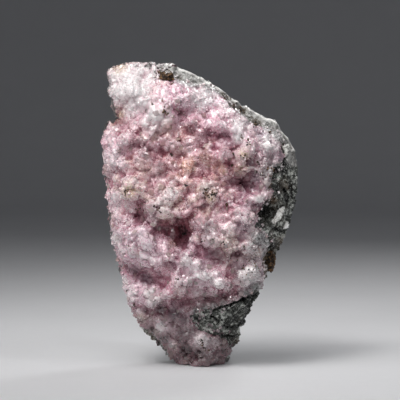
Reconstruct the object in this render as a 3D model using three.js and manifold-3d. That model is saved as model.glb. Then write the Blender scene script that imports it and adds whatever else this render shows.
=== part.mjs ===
// Cobaltoan calcite specimen: a drusy pink crust on a dark host rock, standing on its broken foot.
// Millimetres. +X is to the right, +Y is away from the crusted face and +Z is up. The origin is the
// middle of the bounding box, at the level of the foot.
import * as THREE from "three";
import { mergeVertices } from "three/addons/utils/BufferGeometryUtils.js";
import Module from "manifold-3d";

// ---------- driving dimensions ----------
const GAP = 0.35; // clearance between two pieces that touch
const FOOT_LEVEL = 0; // the flat break that the specimen stands on
const FRONT_SHOULDER = 13; // how far in from the rim the front keeps rounding over
const BACK_SHOULDER = 6; // the same on the back
const RIM_SHARE = 0.35; // share of the back's depth that is left at the rim
const BACK_LEAST = 3; // the back never comes nearer the middle plane than this, before its rim
const CRUST_EDGE = 1.2; // crust thickness where it feathers out on the rock
const CRUST_MOST = 5; // crust thickness away from its edge
const CRUST_SWELL = 0.45; // gain in crust thickness per millimetre from its edge
const CRUST_WRAP = 3.6; // how far behind the middle plane the crust wraps round the left side
const HOLLOW_DIP = 1.15; // how far the rock dips under a hollow, as a share of the hollow's depth
const FRONT_RIPPLE = 0.5; // height of the ripples on the rock's front
const BACK_RIPPLE = 0.8; // and on its back
const BEVEL = 0.2; // bevel on the white crystals' edges
const FIELD = { left: -33, right: 33, low: -6, high: 94 }; // wider than the specimen on every side
const PRISM_REACH = 40; // further than the specimen reaches from the middle plane
const FINE_PITCH = 1.65; // spacing of the points on the crust's face
const COARSE_PITCH = 2.75; // spacing of the points on the rock's faces
const JITTER = 0.27; // how far those points stray from their rows, as a share of the spacing

// Depth of the body in front of the middle plane, as [height, depth].
const FRONT_DEPTH = [
  [0, 9.5],
  [10, 11],
  [18, 12.5],
  [27, 15.5],
  [38, 16],
  [50, 16.5],
  [62, 14.5],
  [72, 12.5],
  [82, 9.5],
  [91, 4.5],
];

// Breaks that make up the back: depth behind the middle plane at [0, MIDDLE_HEIGHT], and its slope
// along X and along Z. The rock reaches back to the nearest of them.
const MIDDLE_HEIGHT = 45;
const BREAKS = [
  { depth: 15.5, slope: [0.05, -0.03] },
  { depth: 14.2, slope: [0.22, 0.12] },
  { depth: 20.5, slope: [0.62, 0.03] },
  { depth: 26, slope: [-0.78, 0.12] },
  { depth: 21.5, slope: [-0.08, -0.4] },
  { depth: 27.5, slope: [-0.5, -0.42] },
  { depth: 23, slope: [0.12, 0.32] },
  { depth: 23.5, slope: [0.55, 0.34] },
];

// Outlines as [x, z], clockwise from the top left. They run on below the foot, which is cut off flat.
const BELOW_FOOT = [
  [7.5, -12],
  [-5.5, -12],
];
const RIGHT_SIDE = [
  [-8.5, 90],
  [-3.5, 87.5],
  [3.5, 84.5],
  [8, 81],
  [14, 77],
  [20, 73.5],
  [22.5, 73],
  [26, 68],
  [28.5, 64],
  [29, 60],
  [29.5, 55.5],
  [28.5, 46],
  [27, 41.5],
  [23.5, 34],
  [20.5, 26],
  [15.5, 17],
  [13.5, 11.5],
  [12, 6.5],
  [9, 3],
];
const LEFT_SIDE = [
  [-22, 19],
  [-22.5, 25.5],
  [-24, 31],
  [-26, 38],
  [-27, 46],
  [-27.5, 53],
  [-29.5, 60],
  [-29, 70],
  [-27.5, 73],
  [-24.5, 73],
  [-26.5, 77.5],
  [-28, 81],
  [-27.5, 85],
];
const SPECIMEN_OUTLINE = [
  [-27.5, 89],
  [-22, 90],
  [-17, 90.5],
  ...RIGHT_SIDE,
  ...BELOW_FOOT,
  [-7.5, 1],
  [-11, 4.5],
  [-16, 8],
  [-19.5, 12.5],
  ...LEFT_SIDE,
];
const MATRIX_OUTLINE = [
  [-25.5, 88],
  [-22, 90],
  [-19, 89],
  [-14, 89.2],
  ...RIGHT_SIDE,
  ...BELOW_FOOT,
  [-7.5, 1],
  [-11, 4.5],
  [-16, 7.5],
  [-19, 12],
  [-19.5, 18],
  [-20.5, 26],
  [-24.7, 31],
  [-26.2, 36],
  [-24.5, 40],
  [-24.5, 46],
  [-25, 53],
  [-27, 60],
  [-26.5, 69],
  [-22.5, 74],
  [-25, 80],
  [-25, 85],
];
const CRUST_OUTLINE = [
  [-27.5, 88.5],
  [-23, 89.3],
  [-17, 90.5],
  [-14, 89.5],
  [-12, 87],
  [-7.5, 84.5],
  [-0.5, 83.5],
  [4, 82.5],
  [7.5, 79.5],
  [9, 76.5],
  [14, 73],
  [17, 70.8],
  [22, 70],
  [24, 67.7],
  [23.9, 64.8],
  [24.8, 61.8],
  [21, 58.5],
  [21, 52.5],
  [18, 48],
  [15.5, 42],
  [19, 40.5],
  [20.5, 37],
  [18, 31],
  [19, 27.5],
  [18, 24],
  [15, 22],
  [8, 19],
  [0, 17.5],
  [-3, 15.5],
  [-0.5, 11.5],
  [5.5, 9],
  [8, 7],
  [9.5, 4],
  [7.5, 1.5],
  ...BELOW_FOOT,
  [-7.2, 1],
  [-10, 5.5],
  [-14, 9.5],
  [-18, 13.5],
  ...LEFT_SIDE,
];

// Rounded crystal knobs on the crust's face, as [x, z, radius, rise].
const KNOBS = [
  [-22, 83, 8.5, 1.6],
  [-13.5, 81, 6.5, 1.6],
  [-6.5, 81, 5, 1.2],
  [0, 80.5, 5, 1.2],
  [-10.5, 74.5, 6.5, 2.2],
  [-15, 69.5, 6, 1.8],
  [5.5, 73, 5, 1.5],
  [12, 70.5, 5, 1.6],
  [14, 65.5, 4.5, 1.6],
  [21, 66, 5, 1.4],
  [-26.5, 70, 4, 1.5],
  [-25.5, 65, 5, 1.8],
  [-27, 59.5, 4.5, 1.5],
  [-20, 69, 4, 1.2],
  [-20.5, 53, 5, 2.8],
  [-12, 62, 4, 1.6],
  [-3.5, 60, 4, 1.6],
  [2, 62, 4, 1.6],
  [-3.5, 55, 4, 2],
  [3.5, 52, 6, 3],
  [-10.5, 52, 4.5, 1.8],
  [-12, 46.5, 6.5, 3.6],
  [-8, 44, 5, 3],
  [-1.5, 47.5, 4, 2.2],
  [0, 43.5, 4, 2],
  [6.5, 62.5, 4, 1.8],
  [13, 62.5, 4, 1.8],
  [12.5, 58.5, 4, 1.8],
  [18.5, 60, 4, 1.4],
  [18.5, 55, 4, 1.6],
  [16.5, 50.5, 4, 2.2],
  [8.5, 49.5, 4, 1.8],
  [13, 46.5, 4.5, 2],
  [8, 39.5, 6.5, 2.8],
  [8.5, 35.5, 7, 3.2],
  [1.5, 39, 4, 2],
  [-20, 37, 9, 2.4],
  [-25.5, 50.5, 4, 1.6],
  [-23.5, 44, 4.5, 1.4],
  [-9, 33.5, 4.5, 2.2],
  [-15, 32, 5, 2],
  [-2, 31.5, 6, 2.4],
  [3, 27.5, 5, 2.8],
  [6, 25, 4, 2.4],
  [-4.5, 25, 5, 2.4],
  [-20, 22, 5, 1.8],
  [-14.5, 20.5, 4, 1.6],
  [-9, 21, 4.5, 1.8],
  [14.5, 26.5, 6, 1.8],
  [16.5, 36, 4.5, 1.4],
  [-11.5, 11.5, 3.5, 1.2],
  [-7.5, 7, 3.5, 1.4],
  [-17, 15.5, 4, 1.2],
  [1, 7.5, 4.5, 1.6],
  [5, 3.5, 4, 1.4],
];

// Hollows between the knobs, as [x, z, radius, depth].
const HOLLOWS = [
  [-5, 76, 4, 2.2],
  [6.5, 67.5, 4, 1.8],
  [-12, 65, 4, 1.8],
  [-20, 63.5, 4, 1.8],
  [13.5, 53.5, 5, 4],
  [-9.5, 39.5, 6, 5],
  [-4, 38, 6, 8],
  [-1.5, 35.5, 4, 3.5],
  [4.5, 31.5, 4.5, 2.6],
  [11, 32, 4.5, 2.6],
  [-17, 27.5, 6, 3.6],
  [-12, 25, 4.5, 3.6],
  [-9.5, 17, 6, 2.4],
  [-18.5, 45, 5, 2.4],
  [19, 46, 4, 4.5],
  [-6.5, 13, 4, 1.6],
  [-3, 5.5, 4, 1.8],
  [0, 22, 6, 1.8],
  [8, 21.5, 5, 1.8],
];

// Crystals that sit in sockets in the rock: where, the face as [x, z] corners, how thick they are,
// how much of that is sunk, and how far they lean with the surface, from 0 to 1.
const WHITE_CRYSTALS = [
  {
    name: "white_blade",
    finish: "whiteCalcite",
    at: [23.6, 45.1],
    face: [[-1.9, -2.1], [-0.7, -2.5], [0.9, -0.9], [1.9, 1.3], [1.7, 2.3], [0.5, 2.1]],
    thick: 2.2,
    sunk: 0.45,
    lean: 0.5,
  },
  {
    name: "white_bead",
    finish: "whiteCalcite",
    at: [26, 42],
    face: [[-0.9, -0.5], [-0.2, -1.15], [0.6, -0.9], [0.9, 0.1], [0.5, 1.1], [-0.4, 0.8]],
    thick: 2.2,
    sunk: 0.5,
    lean: 0.4,
  },
  {
    name: "white_wedge",
    finish: "whiteCalcite",
    at: [25.7, 64.2],
    face: [[-1.2, 1], [-0.1, -2], [0.4, -2], [1.3, 1.5]],
    thick: 2.4,
    sunk: 0.45,
    lean: 0.5,
  },
];

// Lumps of iron oxide in the rock: where, how wide, deep and tall they are, and how much is sunk.
const OXIDE_LUMPS = [
  {
    name: "oxide_clot",
    finish: "ironOxide",
    at: [-9.6, 85.6],
    size: [4.6, 3, 2.9],
    lobes: 1,
    sunk: 0.4,
    lean: 0.3,
  },
  {
    name: "oxide_lens",
    finish: "ironOxide",
    at: [21, 31],
    size: [3.4, 3, 7],
    lobes: 2.3,
    sunk: 0.55,
    lean: 0.3,
  },
];

// ---------- solids ----------
const wasm = await Module();
wasm.setup();

// A closed three.js geometry as a solid that can be joined and cut.
function solidOf(geometry) {
  const bare = geometry.clone();
  bare.deleteAttribute("normal");
  bare.deleteAttribute("uv");
  const merged = mergeVertices(bare, 1e-4);
  const vertProperties = new Float32Array(merged.attributes.position.array);
  const triVerts = new Uint32Array(merged.index.array);
  return new wasm.Manifold(new wasm.Mesh({ numProp: 3, vertProperties, triVerts }));
}

function geometryOf(solid) {
  const mesh = solid.getMesh();
  const geometry = new THREE.BufferGeometry();
  geometry.setAttribute("position", new THREE.BufferAttribute(mesh.vertProperties, 3));
  geometry.setIndex(new THREE.BufferAttribute(mesh.triVerts, 1));
  return geometry;
}

// ---------- the shape of the faces ----------
function along(table, at) {
  const last = table.length - 1;
  if (at <= table[0][0]) return table[0][1];
  if (at >= table[last][0]) return table[last][1];
  const i = table.findIndex(([key]) => key > at);
  const [lowKey, low] = table[i - 1];
  const [highKey, high] = table[i];
  return THREE.MathUtils.lerp(low, high, (at - lowKey) / (highKey - lowKey));
}

// Distance from (x, z) to the outline: positive inside it.
function depthInside(outline, x, z) {
  let nearest = Infinity;
  let inside = false;
  outline.forEach(([ax, az], i) => {
    const [bx, bz] = outline[(i + 1) % outline.length];
    const [ux, uz] = [bx - ax, bz - az];
    const share = ((x - ax) * ux + (z - az) * uz) / (ux * ux + uz * uz);
    const t = THREE.MathUtils.clamp(share, 0, 1);
    nearest = Math.min(nearest, Math.hypot(x - ax - t * ux, z - az - t * uz));
    if (az > z !== bz > z && x < ax + (ux * (z - az)) / uz) inside = !inside;
  });
  return inside ? nearest : -nearest;
}

// 0 at the rim and 1 from reach inwards, rounding over like the edge of a cushion.
function shoulder(reach, x, z) {
  const share = THREE.MathUtils.clamp(depthInside(SPECIMEN_OUTLINE, x, z) / reach, 0, 1);
  return Math.sqrt(1 - (1 - share) ** 2);
}

// The greatest of these [x, z, radius, height] domes over the point, 0 outside them all.
function domes(list, x, z) {
  const height = ([cx, cz, radius, most]) => {
    const share = ((x - cx) ** 2 + (z - cz) ** 2) / radius ** 2;
    return share < 1 ? most * (1 - share) ** 1.5 : 0;
  };
  return list.reduce((most, one) => Math.max(most, height(one)), 0);
}

function ripple(x, z) {
  const broad = Math.sin(0.31 * x + 0.5) * Math.sin(0.27 * z + 1.1);
  const fine = Math.sin(0.83 * x - 0.47 * z) * Math.sin(0.71 * z + 0.39 * x);
  return 0.5 * broad + 0.3 * fine;
}

// Each face is its distance from the middle plane: the body's smoothed front, the crust's front
// with its knobs and hollows, and the rock's front, which only dips under the deep hollows.
function bodyFront(x, z) {
  return along(FRONT_DEPTH, z) * shoulder(FRONT_SHOULDER, x, z);
}

function crustFront(x, z) {
  return bodyFront(x, z) + domes(KNOBS, x, z) - domes(HOLLOWS, x, z);
}

function rockFront(x, z) {
  const inside = Math.max(0, depthInside(CRUST_OUTLINE, x, z));
  const crust = Math.min(CRUST_MOST, CRUST_EDGE + CRUST_SWELL * inside);
  const dip = CRUST_EDGE + HOLLOW_DIP * domes(HOLLOWS, x, z);
  return bodyFront(x, z) - Math.max(crust, dip) + FRONT_RIPPLE * ripple(x, z);
}

function rockBack(x, z) {
  const broken = ({ depth, slope }) => depth + slope[0] * x + slope[1] * (z - MIDDLE_HEIGHT);
  const rim = RIM_SHARE + (1 - RIM_SHARE) * shoulder(BACK_SHOULDER, x, z);
  return rim * Math.max(BACK_LEAST, Math.min(...BREAKS.map(broken))) + BACK_RIPPLE * ripple(z, x);
}

function crustBack(x, z) {
  return Math.min(rockBack(x, z), CRUST_WRAP + ripple(x, z));
}

// ---------- solids from faces and outlines ----------
// A block wider than the specimen, with its two broad sides moved to the front and back faces, and
// its points nudged off their rows so that no rows show.
function slab(front, back, pitch) {
  const { left, right, low, high } = FIELD;
  const columns = Math.round((right - left) / pitch);
  const rows = Math.round((high - low) / pitch);
  const geometry = new THREE.BoxGeometry(right - left, 2, high - low, columns, 1, rows);
  geometry.translate((left + right) / 2, 0, (low + high) / 2);
  const place = geometry.attributes.position;
  for (let i = 0; i < place.count; i++) {
    const [row, side, column] = [place.getX(i), place.getY(i), place.getZ(i)];
    const x = row + JITTER * pitch * Math.sin(3.7 * row + 2.3 * column);
    const z = column + JITTER * pitch * Math.cos(2.9 * row - 4.1 * column);
    place.setXYZ(i, x, side < 0 ? -front(x, z) : back(x, z), z);
  }
  return solidOf(geometry);
}

// The outline moved outwards by a distance, each corner along the mean of its two sides' normals.
function grown(outline, distance) {
  return outline.map(([x, z], i) => {
    const [px, pz] = outline[(i + outline.length - 1) % outline.length];
    const [nx, nz] = outline[(i + 1) % outline.length];
    const before = new THREE.Vector2(-(z - pz), x - px).normalize();
    const after = new THREE.Vector2(-(nz - z), nx - x).normalize();
    const out = before.add(after).normalize().multiplyScalar(distance);
    return [x + out.x, z + out.y];
  });
}

// The outline extruded from front to back.
function prism(outline) {
  const shape = new THREE.Shape(outline.map(([x, z]) => new THREE.Vector2(x, z)));
  const geometry = new THREE.ExtrudeGeometry(shape, { depth: 2 * PRISM_REACH, bevelEnabled: false });
  return solidOf(geometry.translate(0, 0, -PRISM_REACH).rotateX(Math.PI / 2));
}

// The host rock, moved outwards on every side by grow.
function rock(grow) {
  const front = (x, z) => rockFront(x, z) + grow;
  const back = (x, z) => rockBack(x, z) + grow;
  return slab(front, back, COARSE_PITCH).intersect(prism(grown(MATRIX_OUTLINE, grow)));
}

// A crystal's face outline made solid, with bevelled edges, centred on the XZ plane.
function crystal({ face, thick }) {
  const shape = new THREE.Shape(face.map(([x, z]) => new THREE.Vector2(x, z)));
  const options = {
    depth: thick - 2 * BEVEL,
    bevelEnabled: true,
    bevelSize: BEVEL,
    bevelOffset: -BEVEL,
    bevelThickness: BEVEL,
    bevelSegments: 1,
  };
  const geometry = new THREE.ExtrudeGeometry(shape, options).rotateX(Math.PI / 2);
  return geometry.translate(0, thick / 2 - BEVEL, 0);
}

// A rough lump of oxide, with its bumps shifted round it by lobes.
function lump({ size, lobes }) {
  const geometry = new THREE.IcosahedronGeometry(0.5, 2);
  const place = geometry.attributes.position;
  for (let i = 0; i < place.count; i++) {
    const [x, y, z] = [place.getX(i), place.getY(i), place.getZ(i)];
    const swell = 1 + 0.13 * Math.sin(9 * x + 5 * lobes) * Math.cos(8 * z - 3 * lobes);
    place.setXYZ(i, x * size[0] * swell, y * size[1] * swell, z * size[2] * swell);
  }
  return geometry;
}

// The same piece, larger by GAP on each side, for cutting its socket.
function enlarged(geometry) {
  geometry.computeBoundingBox();
  const centre = geometry.boundingBox.getCenter(new THREE.Vector3());
  const size = geometry.boundingBox.getSize(new THREE.Vector3());
  const scale = size.clone().addScalar(2 * GAP).divide(size);
  const larger = geometry.clone().translate(-centre.x, -centre.y, -centre.z);
  return larger.scale(scale.x, scale.y, scale.z).translate(centre.x, centre.y, centre.z);
}

// Seats a piece in the rock's face at [x, z]: turned from facing forwards towards the face's outward
// normal by the share lean, with the share sunk of its depth below the face.
function seated(geometry, { at: [x, z], depth, sunk, lean }) {
  const step = 1;
  const across = rockFront(x + step, z) - rockFront(x - step, z);
  const upwards = rockFront(x, z + step) - rockFront(x, z - step);
  const forwards = new THREE.Vector3(0, -1, 0);
  const facing = new THREE.Vector3(-across, -2 * step, -upwards).normalize();
  facing.lerp(forwards, 1 - lean).normalize();
  const turned = geometry.applyQuaternion(new THREE.Quaternion().setFromUnitVectors(forwards, facing));
  return turned.translate(x, -rockFront(x, z) - (0.5 - sunk) * depth, z);
}

// ---------- the specimen ----------
const fittings = [];
for (const one of WHITE_CRYSTALS) fittings.push({ ...one, depth: one.thick, form: crystal(one) });
for (const one of OXIDE_LUMPS) fittings.push({ ...one, depth: one.size[1], form: lump(one) });

const underFoot = solidOf(new THREE.BoxGeometry(100, 100, 40).translate(0, 0, FOOT_LEVEL - 20));
let matrix = rock(0).subtract(underFoot);
let crust = slab(crustFront, crustBack, FINE_PITCH).intersect(prism(CRUST_OUTLINE));
crust = crust.subtract(rock(GAP)).subtract(underFoot);
for (const one of fittings) {
  const socket = solidOf(seated(enlarged(one.form), one));
  matrix = matrix.subtract(socket);
  crust = crust.subtract(socket);
}

const FINISHES = {
  rock: new THREE.MeshStandardMaterial({ color: 0x4a4c45, roughness: 0.85, metalness: 0 }),
  pinkCalcite: new THREE.MeshStandardMaterial({ color: 0xd9a9b8, roughness: 0.3, metalness: 0 }),
  whiteCalcite: new THREE.MeshStandardMaterial({ color: 0xdcdad0, roughness: 0.35, metalness: 0 }),
  ironOxide: new THREE.MeshStandardMaterial({ color: 0x3a2a1c, roughness: 0.9, metalness: 0 }),
};

const specimen = new THREE.Group();
function add(name, geometry, finish) {
  const mesh = new THREE.Mesh(geometry, finish.clone());
  mesh.name = name;
  specimen.add(mesh);
}
add("matrix", geometryOf(matrix), FINISHES.rock);
add("pink_crust", geometryOf(crust), FINISHES.pinkCalcite);
for (const one of fittings) add(one.name, seated(one.form, one), FINISHES[one.finish]);

// The origin goes to the middle of the bounding box, at the foot.
const bounds = new THREE.Box3().setFromObject(specimen);
const middle = bounds.getCenter(new THREE.Vector3());
specimen.position.set(-middle.x, -middle.y, -bounds.min.z);

export default specimen;
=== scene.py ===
"""A cobaltoan calcite specimen: drusy pink crystals on dark granular rock, on a pale floor.

The scene is in metres in the row frame: +X right, +Y away from the crusted face, +Z up. Lengths in the
tables and in the mesh code are in millimetres. Places given as [x, z] are on the crusted face, which is seen
from the front.
"""
import math

import bmesh
import bpy
import numpy as np
from mathutils import Matrix, Vector, kdtree, noise
from mathutils.bvhtree import BVHTree


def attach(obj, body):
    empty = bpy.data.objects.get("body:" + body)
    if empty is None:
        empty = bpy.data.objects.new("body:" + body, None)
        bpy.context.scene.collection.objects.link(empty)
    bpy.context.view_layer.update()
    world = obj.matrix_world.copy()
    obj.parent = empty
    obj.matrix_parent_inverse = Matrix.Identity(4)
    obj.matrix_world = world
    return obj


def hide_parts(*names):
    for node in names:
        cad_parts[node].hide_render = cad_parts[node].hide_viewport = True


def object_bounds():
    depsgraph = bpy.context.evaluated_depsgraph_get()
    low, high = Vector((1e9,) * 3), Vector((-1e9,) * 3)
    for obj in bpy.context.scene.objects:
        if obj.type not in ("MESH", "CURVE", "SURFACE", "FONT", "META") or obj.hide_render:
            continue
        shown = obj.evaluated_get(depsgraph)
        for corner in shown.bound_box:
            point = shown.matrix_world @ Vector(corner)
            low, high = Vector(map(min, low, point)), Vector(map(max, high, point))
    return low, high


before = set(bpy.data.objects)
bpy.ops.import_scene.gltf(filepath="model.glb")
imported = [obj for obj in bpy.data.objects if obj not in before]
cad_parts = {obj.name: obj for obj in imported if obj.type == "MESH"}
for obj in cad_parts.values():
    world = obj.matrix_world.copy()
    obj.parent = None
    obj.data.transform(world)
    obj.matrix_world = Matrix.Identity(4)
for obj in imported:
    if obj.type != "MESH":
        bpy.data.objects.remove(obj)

MM = 0.001
cad_low, cad_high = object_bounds()

# ---------- where things are on the crust, as [x, z, radius, strength] ----------
# White with small crystals.
FROST = [
    [-21.5, 83.5, 8.5, 1.3], [-15, 87.4, 5, 1.2], [-12, 80, 4, 0.3], [-26, 70, 4, 0.25],
    [-26, 61, 4.5, 0.5], [-24.4, 49, 3.5, 0.7], [20.5, 67, 4.5, 1], [-18, 88, 3, 1.3], [7.7, 76, 4.5, 0.5],
    [12.2, 73, 5, 0.7], [-10.3, 50.6, 3.5, 0.6], [-5, 51.4, 2.4, 0.4], [0, 79.6, 3, 0.6], [4, 76, 2.4, 0.4],
    [-3, 78.6, 3, 0.2], [-24, 61.6, 2.5, 0.4], [3.6, 41, 2, 0.5], [-16.9, 32.6, 2.4, 0.4],
    [-11, 22.7, 2, 0.4], [14.3, 33.8, 2.4, 0.5], [-13.3, 73, 4, 0.6], [17.3, 50.2, 1.5, 0.9],
    [-23.5, 39.6, 2.4, 0.3], [-23.3, 34.7, 2.6, 0.6], [-2.8, 30.5, 4, 0.5], [1.7, 27.5, 4.5, 0.6],
    [-4, 32.6, 2.5, 0.6], [5.3, 25.4, 2, 1], [15, 27.4, 4, 1], [16.6, 38.2, 2, 0.8], [12.2, 30.5, 3, 0.5],
    [-20.8, 21.2, 3.5, 0.7], [-13.3, 20.3, 2.5, 0.6], [3.2, 6.5, 3, 0.6], [-11.3, 11.9, 1.9, 1],
    [-7.8, 6.2, 1.6, 1], [0.6, 8, 2.8, 1], [-1.2, 9.6, 1.6, 0.8], [3.6, 4.4, 2, 0.8],
    [-17.4, 14.4, 1.6, 0.8], [-22.6, 24.6, 2.4, 0.9], [-14.4, 22.6, 2, 0.9], [16, 60, 3, 0.3],
    [2.6, 53, 3, 0.8], [-14, 81, 5, 0.4], [2, 80, 4, 0.9], [-20, 77, 4, 0.9], [0, 7.5, 2.5, 0.6],
    [-18, 16, 2.5, 0.5], [-17, 34.5, 5, 0.3], [-3, 76, 3, 0.3], [-16.3, 80.6, 3.2, 0.7], [-7, 78.6, 3, 0.2],
    [8.6, 77.6, 2.4, 0.7], [11.6, 67.7, 2.5, 0.8], [-7.5, 52.5, 2.8, 0.7], [-24.8, 37.6, 2.6, 1],
    [3.4, 41.6, 2.2, 0.6], [-16.3, 77, 3.5, 0.7], [0.2, 78.5, 3.5, 0.7], [-10.3, 71.6, 2.6, 0.5],
    [-16.3, 57.5, 2.6, 0.4],
]
# A deeper pink.
ROSE = [
    [-6.4, 78.2, 2.6, 1], [9, 72, 3, 0.8], [-9.4, 80.6, 4, 0.5], [-5, 76, 5, 1], [-1.3, 64.1, 4, 0.6],
    [4.7, 64.1, 4, 0.6], [-13.3, 37.1, 4, 0.6], [1.7, 34.1, 4, 0.7], [13.1, 50.6, 4, 0.6],
    [3.2, 71.6, 5, 0.9], [-10.3, 23.6, 4, 0.7], [8.3, 50, 4, 0.5], [-11, 64, 4, 0.6], [2, 57, 3, 0.5],
    [-12, 39.5, 4, 0.8], [9, 69, 4, 0.6], [-2, 31, 5, 0.6], [-19, 34.5, 5, 0.6], [-3, 44, 4, 0.7],
    [4, 25.5, 3, 0.7], [-16.5, 24, 3, 0.6], [-10.5, 81, 3.5, 0.5], [6, 73.5, 3, 0.9], [-19, 36, 4, 0.6],
    [-6, 79, 3.5, 0.8], [5, 70.5, 4, 0.9], [-14.5, 42, 2, 0.9], [-12, 28, 3, 0.8], [4, 28.5, 4, 0.8],
    [-19, 28, 4, 0.8], [5, 24, 3, 0.9], [9, 71.5, 3, 0.7], [8.5, 57, 3, 0.6], [-8, 78.6, 2.4, 1],
]
# The pink leans to lilac.
LILAC = [
    [-18, 36, 10, 0.9], [-2, 31, 8, 0.9], [-18, 24, 8, 0.8], [-6, 82, 6, 0.9], [4, 78, 7, 0.8],
    [-27, 65, 5, 0.6], [20, 64, 6, 0.8], [4, 25, 5, 0.8], [-6, 15, 7, 0.7], [10, 69, 6, 0.5],
    [14, 50, 5, 0.6], [19, 55, 5, 0.8],
]
# The pink leans to orange.
PEACH = [
    [-3.7, 59.9, 3.2, 1], [1.7, 61.7, 2.5, 0.7], [5.3, 58.7, 2.8, 0.8], [-7.6, 37.2, 1.5, 0.5],
    [-4.3, 56.6, 3, 0.6], [-16.3, 58.1, 4, 0.3], [-4.4, 54.8, 3, 0.7], [-9, 70, 3, 0.4],
    [3.5, 52, 3.5, 0.35], [-4.5, 69, 3, 0.35], [-5, 61, 8, 0.24], [3, 55, 8, 0.24], [-12, 55, 7, 0.2],
    [-2.6, 48, 6, 0.2],
]
# Stained yellow-brown.
TAN = [
    [12.8, 62.6, 2.2, 0.8], [12.2, 58.7, 2.2, 0.7], [-23.8, 89.3, 3, 0.8], [-20.3, 52.4, 2.6, 1],
    [-7.2, 6, 1.6, 0.35], [-17.4, 14.4, 2, 0.5], [-24.6, 74.2, 2.6, 0.9], [-18, 59, 3, 0.2],
    [8, 36, 4, 0.35], [3.2, 50.2, 1.6, 0.8], [-9.5, 43.8, 3, 0.45],
]
GREY = [
    [13, 22.6, 3, 0.6], [18.8, 57.6, 7, 1], [8, 36.2, 6.5, 1], [-2.8, 24.5, 4, 0.8], [0.2, 5.6, 8, 1],
    [-10.3, 11.6, 6, 0.6], [-11.8, 46.1, 5, 0.6], [13.7, 41.6, 5, 0.7], [-13, 73, 4, 0.4], [14, 26, 6, 0.6],
    [-17, 47, 4, 0.4], [4, 20.5, 6, 0.9], [-2, 2, 5, 1], [17, 38, 4, 0.8], [15.3, 38.6, 4, 0.9],
    [-3, 12, 6, 0.7], [8, 21, 5, 0.9], [-4, 18, 4, 0.5], [6, 3, 5, 0.9], [19, 53, 3.6, 0.7],
]
# Painted shade in the hollows, in wine red.
WINE = [
    [-5.8, 40.8, 4.5, 1], [-9, 41.2, 2.6, 0.5], [-4, 38, 2.4, 0.6], [13.5, 53.5, 4, 0.6],
    [4.5, 33, 3.4, 0.4], [-13, 64, 4, 0.45], [-18, 61, 3, 0.5], [-1, 69, 3, 0.5], [-18.5, 28.6, 4, 0.7],
    [-14, 26, 3.4, 0.6], [19.6, 46.5, 3, 1], [-5.4, 75.3, 1.8, 1], [5, 18, 5, 0.2], [-16.5, 45.6, 4, 0.3],
    [12, 31.5, 3, 0.4],
]
# Painted shade in the folds, in a hollow or not. Where the band field is set too, as on the lower rock
# wedge, these spots give the rock's colour instead.
DARK = [
    [-15.6, 64, 3, 0.5], [8, 65.5, 2.6, 0.3], [1.5, 65.5, 3.2, 0.4], [-12.5, 56, 3.4, 0.35],
    [1.7, 47.6, 2.2, 0.5], [-8.8, 65.4, 3, 0.5], [-18, 66, 2.6, 0.3], [18.2, 61.4, 2, 0.5],
    [-1.3, 43.6, 2, 0.45], [2.3, 38.4, 2.2, 0.55], [-23.8, 70.7, 2.4, 0.3], [-13, 46, 4, 0.3],
    [-4.3, 64.4, 2.8, 0.45], [-2.8, 49, 2, 0.4], [13.7, 49, 2.2, 0.4], [-7.3, 44.4, 2.2, 0.45],
    [4.6, 34.2, 1.8, 0.7], [10.8, 33.9, 1.7, 0.6], [8, 33.4, 1.7, 0.6], [16.4, 23.4, 2, 0.6],
    [20.2, 33.6, 1.9, 1], [0.5, 68.6, 2.6, 0.45], [5.6, 58, 2, 0.3], [1.7, 50.5, 1.8, 0.3],
    [14, 22.4, 2.4, 0.5], [1.7, 32.6, 2, 0.35], [16.6, 60, 2, 0.4], [-11, 17.4, 2.2, 0.9],
    [-7.6, 16, 2.4, 1], [-4.6, 14.4, 2, 0.7], [-13.8, 10.2, 1.5, 0.9], [-4, 4.8, 2.2, 0.8],
    [0, 3.4, 2.2, 0.7], [-11, 8.6, 1.3, 0.6], [-2.6, 11.2, 1.6, 0.5], [-10, 7.8, 1.8, 0.6],
    [1, 2.4, 2.4, 0.4], [-15.4, 17, 1.8, 0.5], [-5, 9.6, 1.8, 0.5], [-18.8, 28.4, 2.2, 0.75],
    [-15.6, 26.4, 2.2, 0.9], [-11.4, 28, 1.8, 0.4], [-21.6, 29.6, 1.8, 0.6], [-8.4, 31, 1.4, 0.45],
    [-5.8, 33.6, 1.3, 0.4], [2.8, 34.2, 1.5, 0.5], [6.4, 32.8, 1.6, 0.6], [-14.6, 43.6, 1.4, 0.4],
    [-18.4, 61, 1.2, 0.4], [-13, 63, 2, 0.3], [18.6, 60.4, 2.4, 0.45], [15.6, 59.4, 1.8, 0.3],
    [6.8, 55.4, 2.6, 0.35], [20, 53.5, 2.6, 0.5], [-27.8, 57, 2.5, 0.5], [16, 49.6, 1.4, 0.3],
    [-17, 45.2, 1.4, 0.4], [12.8, 54.4, 2.6, 0.9], [5, 18.4, 3, 0.3], [1, 20.6, 3.4, 0.4],
    [6.5, 20.6, 2, 0.4], [-0.8, 16.4, 1.8, 0.5], [1.6, 17.2, 1.7, 0.5], [4.2, 18.1, 1.4, 0.5],
]
# Grey and streaky like the rim, where the crust thins out over the rock.
STREAKY = [
    [17.4, 38.6, 3.2, 0.9], [20, 37.2, 3, 1], [19.6, 34, 2, 0.8], [19.4, 57, 2.2, 0.6],
    [20.8, 54.8, 2, 0.8], [21.6, 58.6, 2.4, 0.8], [17, 26, 2.4, 0.4], [20.6, 61.6, 1.8, 0.4],
    [14.6, 22.6, 1.6, 0.5], [18, 50, 1.6, 0.3], [16, 33, 3.2, 0.5], [12.8, 28, 2.6, 0.35],
    [15.4, 36, 2.4, 0.6], [7, 9, 2.4, 0.5], [11, 6.6, 2.6, 0.6], [-0.8, 16.6, 1.8, 1], [1.6, 17.4, 1.7, 1],
    [4.2, 18.3, 1.4, 0.9], [6.8, 19.1, 1.1, 0.8], [16.8, 23.6, 2.2, 1], [13.6, 21.8, 1.5, 0.9],
]
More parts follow.
